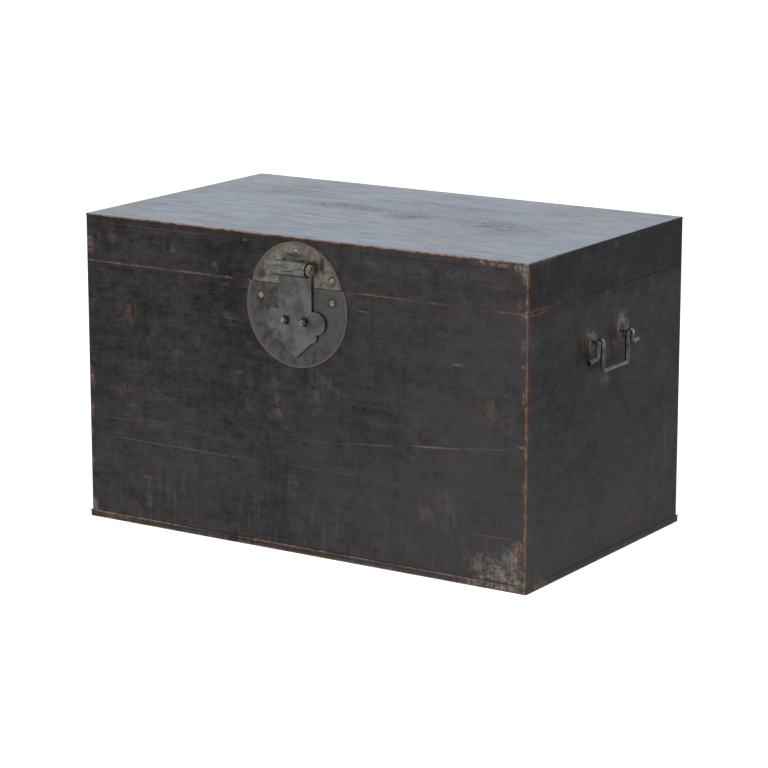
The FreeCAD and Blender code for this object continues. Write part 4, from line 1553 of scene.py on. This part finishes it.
@dataclass
class EndHandle:
    """A forged bail that swings in two eyes on one end of the case."""

    side: int
    height: float = 321 * MM
    proud: float = 12 * MM
    bar: float = 3.4 * MM
    swell: float = 1.14
    facets: int = 8
    leg: float = 35.5 * MM
    drop: float = 41 * MM
    tail: float = 50.5 * MM
    front_tail_drop: float = 19.5 * MM
    front_droop: float = 5 * MM
    rear_tail_drop: float = 14.5 * MM
    reach: float = 20 * MM
    back: float = 2.8 * MM
    bend_radius: float = 4.0 * MM
    eye_spread: float = 43 * MM
    eye_radius: float = 6.0 * MM
    eye_bore: float = 4.1 * MM
    eye_width: float = 5 * MM
    eye_leg: float = 2 * MM
    eye_edge: float = 0.9 * MM
    eye_steps: int = 30
    bar_dents: float = 0.35 * MM
    eye_dents: float = 0.25 * MM

    def __post_init__(self) -> None:
        """Finds the end of the case that carries it."""
        self.name = "right" if self.side > 0 else "left"
        self.wall = self.side * Box.around("front_plank_upper").half.x
        self.pivot = self.wall + self.side * self.proud

    def corner(self, back: float, along: float, down: float) -> Vector:
        """Places a corner of the bail from its pivot line."""
        return Vector((self.pivot - self.side * back, along, self.height - down))

    def bail(self, metal: bpy.types.Material) -> None:
        """Forges the bail: tail, eye, leg, grip, leg, eye and tail.

        Args:
            metal: Its finish.
        """
        front, rear = (
            [
                self.corner(self.back, end * (self.tail + self.reach), drop + droop),
                self.corner(0, end * self.tail, drop),
                self.corner(0, end * self.tail, 0),
                self.corner(0, end * self.leg, 0),
                self.corner(0, end * self.leg, self.drop),
            ]
            for end, drop, droop in (
                (-1, self.front_tail_drop, self.front_droop),
                (1, self.rear_tail_drop, 0),
            )
        )
        corners = front + rear[::-1]
        start = self.bar * self.swell
        rod = ForgedRod(corners[0], corners[1] - corners[0], start, self.facets)
        rod.run(2 * MM, 1.06).run(6 * MM, 1 / self.swell)
        rod.follow(corners[1:], self.bend_radius)
        rod.roughen(rod.mesh.verts[:], self.bar_dents, 5 * MM)
        node = f"{self.name}_bail"
        rod.finish(f"{node}_forged", node, "wrought_iron", metal, (node,), crease=38)

    def eye(self, end: str, along: float, metal: bpy.types.Material) -> None:
        """Folds an eye round the bail and drives its legs into the wall.

        Args:
            end: "front" or "rear".
            along: Its place along Y.
            metal: Its finish.
        """
        form = Form()
        half = self.eye_width / 2
        inner, outer, edge = self.eye_bore, self.eye_radius, self.eye_edge
        outline = [
            (-half, inner), (-half, outer - edge), (-half + edge, outer), (half - edge, outer),
            (half, outer - edge), (half, inner),
        ]
        centre = Vector((self.pivot, along, self.height))
        form.turned(outline, centre, "Y", self.eye_steps, True)
        near, far = sorted((self.wall - self.side * MM, self.pivot - self.side * inner))
        form.block(
            Vector((near, along - half, self.height - self.eye_leg)),
            Vector((far, along + half, self.height + self.eye_leg)),
        )
        form.roughen(form.mesh.verts[:], self.eye_dents, 4 * MM)
        node = f"{self.name}_bail_eye_{end}"
        form.finish(f"{node}_forged", "case", "wrought_iron", metal, (node,))

    def build(self) -> None:
        """Builds the bail and its eyes."""
        metals = Metals()
        self.bail(metals.handle.build())
        # The eyes get the lighter iron, which stands for a painted highlight.
        staple_painted_highlight = metals.staple_painted_highlight.build()
        self.eye("front", -self.eye_spread, staple_painted_highlight)
        self.eye("rear", self.eye_spread, staple_painted_highlight)


@dataclass
class BackHinges:
    """The two nailed iron hinges at the back."""

    edge: float = 0.35 * MM

    def build(self) -> None:
        """Builds leaves, pins and nails."""
        metal = Metals().hinge.build()
        for side in ("left", "right"):
            self.iron(f"hinge_case_leaf_{side}", "case", metal)
            self.iron(f"hinge_lid_leaf_{side}", "lid", metal)
            self.iron(f"hinge_pin_{side}", "case", metal)
        self.iron("hinge_case_nails", "case", metal)
        self.iron("hinge_lid_nails", "lid", metal)

    def iron(self, node: str, body: str, metal: bpy.types.Material) -> None:
        """Copies an iron piece and eases its edges.

        Args:
            node: The piece's CAD node.
            body: The body that it moves with.
            metal: Its finish.
        """
        form = Form.copied(node)
        form.soften(form.sharp_edges(60), self.edge, 2)
        form.finish(f"{node}_worn", body, "wrought_iron", metal, (node,), False)


@dataclass
class Studio:
    """The plain white studio: floor, lamps, sky and the camera of the photograph."""

    target: Vector = field(default_factory=lambda: Vector((0, 0, 0.2295)))
    azimuth: float = 32.8887
    elevation: float = 12.9992
    distance: float = 4.3395
    aside: float = 0.0010
    above: float = -0.0237
    lens: float = 137.8422
    sensor: float = 36.0
    floor_half: float = 14.0
    floor_white: float = 0.74
    floor_grey: Colour = (0.80, 0.80, 0.80)
    sky_light: float = 0.46

    def camera(self) -> None:
        """Places the camera where the photograph was taken from."""
        turn, lift = math.radians(self.azimuth), math.radians(self.elevation)
        back = Vector((math.sin(turn) * math.cos(lift), -math.cos(turn) * math.cos(lift),
                       math.sin(lift)))
        right = Vector((math.cos(turn), math.sin(turn), 0))
        up = back.cross(right)
        lens = bpy.data.cameras.new("camera")
        lens.lens, lens.sensor_width = self.lens, self.sensor
        camera = placed("camera", lens)
        camera.location = (
            self.target + back * self.distance + right * self.aside + up * self.above
        )
        camera.rotation_euler = Matrix((right, up, back)).transposed().to_euler()
        bpy.context.scene.camera = camera

    def lamp(self, name: str, place: Vector, width: float, power: float) -> None:
        """Hangs a square soft lamp that faces the trunk.

        Args:
            name: The lamp's name.
            place: Where it hangs.
            width: Its width.
            power: Its power in watts.
        """
        light = bpy.data.lights.new(name, "AREA")
        light.size, light.energy = width, power
        lamp = placed(name, light)
        lamp.location = place
        lamp.rotation_euler = (place - self.target).to_track_quat("Z", "Y").to_euler()
        lamp.visible_glossy = False

    def rays(self, tree: bpy.types.NodeTree) -> tuple[Value, Value]:
        """Tells the rays that look at the background from those that carry light.

        Args:
            tree: The node tree that needs it.

        Returns:
            1 for camera rays, and 1 for glossy and transmission rays.
        """
        path = tree.nodes.new("ShaderNodeLightPath")
        camera, glossy, passing = (
            Value(tree, path.outputs[f"Is {kind} Ray"]) for kind in ("Camera", "Glossy", "Transmission")
        )
        return camera, glossy.at_least(passing)

    def sky(self) -> None:
        """Makes the world white to look at and milder as a light."""
        world = bpy.data.worlds.new("white_room")
        bpy.context.scene.world = world
        world.use_nodes = True
        tree = world.node_tree
        camera, mirrored = self.rays(tree)
        feeds = {"Value": camera.at_least(mirrored), "To Min": self.sky_light, "To Max": 1.0}
        level = add_node(tree, "ShaderNodeMapRange", feeds).outputs["Result"]
        background = tree.nodes["Background"]
        feed(background.inputs["Color"], WHITE)
        feed(background.inputs["Strength"], Value(tree, level))

    def floor(self) -> None:
        """Lays a pale floor that looks white and keeps the trunk's soft shadow."""
        material = bpy.data.materials.new("white_floor")
        material.use_nodes = True
        tree = material.node_tree
        camera, mirrored = self.rays(tree)
        shader = tree.nodes["Principled BSDF"]
        for name, value in (
            ("Base Color", self.floor_grey), ("Roughness", 0.9), ("Specular IOR Level", 0.0),
            ("Emission Color", WHITE), ("Emission Strength", camera * self.floor_white),
        ):
            feed(shader.inputs[name], value)
        glow = tree.nodes.new("ShaderNodeEmission")
        looks = {0: mirrored, 1: Value(tree, shader.outputs[0]), 2: Value(tree, glow.outputs[0])}
        chosen = add_node(tree, "ShaderNodeMixShader", looks).outputs[0]
        feed(tree.nodes["Material Output"].inputs["Surface"], Value(tree, chosen))
        mesh = bpy.data.meshes.new("floor")
        plane = bmesh.new()
        bmesh.ops.create_grid(plane, x_segments=1, y_segments=1, size=self.floor_half)
        plane.to_mesh(mesh)
        plane.free()
        mesh.materials.append(material)
        floor = placed("floor", mesh)

    def build(self) -> None:
        """Sets up camera, lamps, sky and floor."""
        scene = bpy.context.scene
        scene.view_settings.view_transform = "Standard"
        self.camera()
        self.lamp("key", Vector((-1.7, -2.6, 2.6)), 1.1, 62)
        self.lamp("overhead", Vector((0.4, 0.3, 3.2)), 2.4, 26)
        self.sky()
        self.floor()


def main() -> None:
    """Builds the studio, the trunk's woodwork, its lock and its ironwork, in that order."""
    logging.basicConfig(level=logging.INFO, format="%(name)s: %(message)s")
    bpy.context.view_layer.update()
    for part in (Studio(), Woodwork(), Lock(), EndHandle(-1), EndHandle(1), BackHinges()):
        part.build()
        log.info("%s is built", type(part).__name__)


if __name__ == "__main__":
    main()
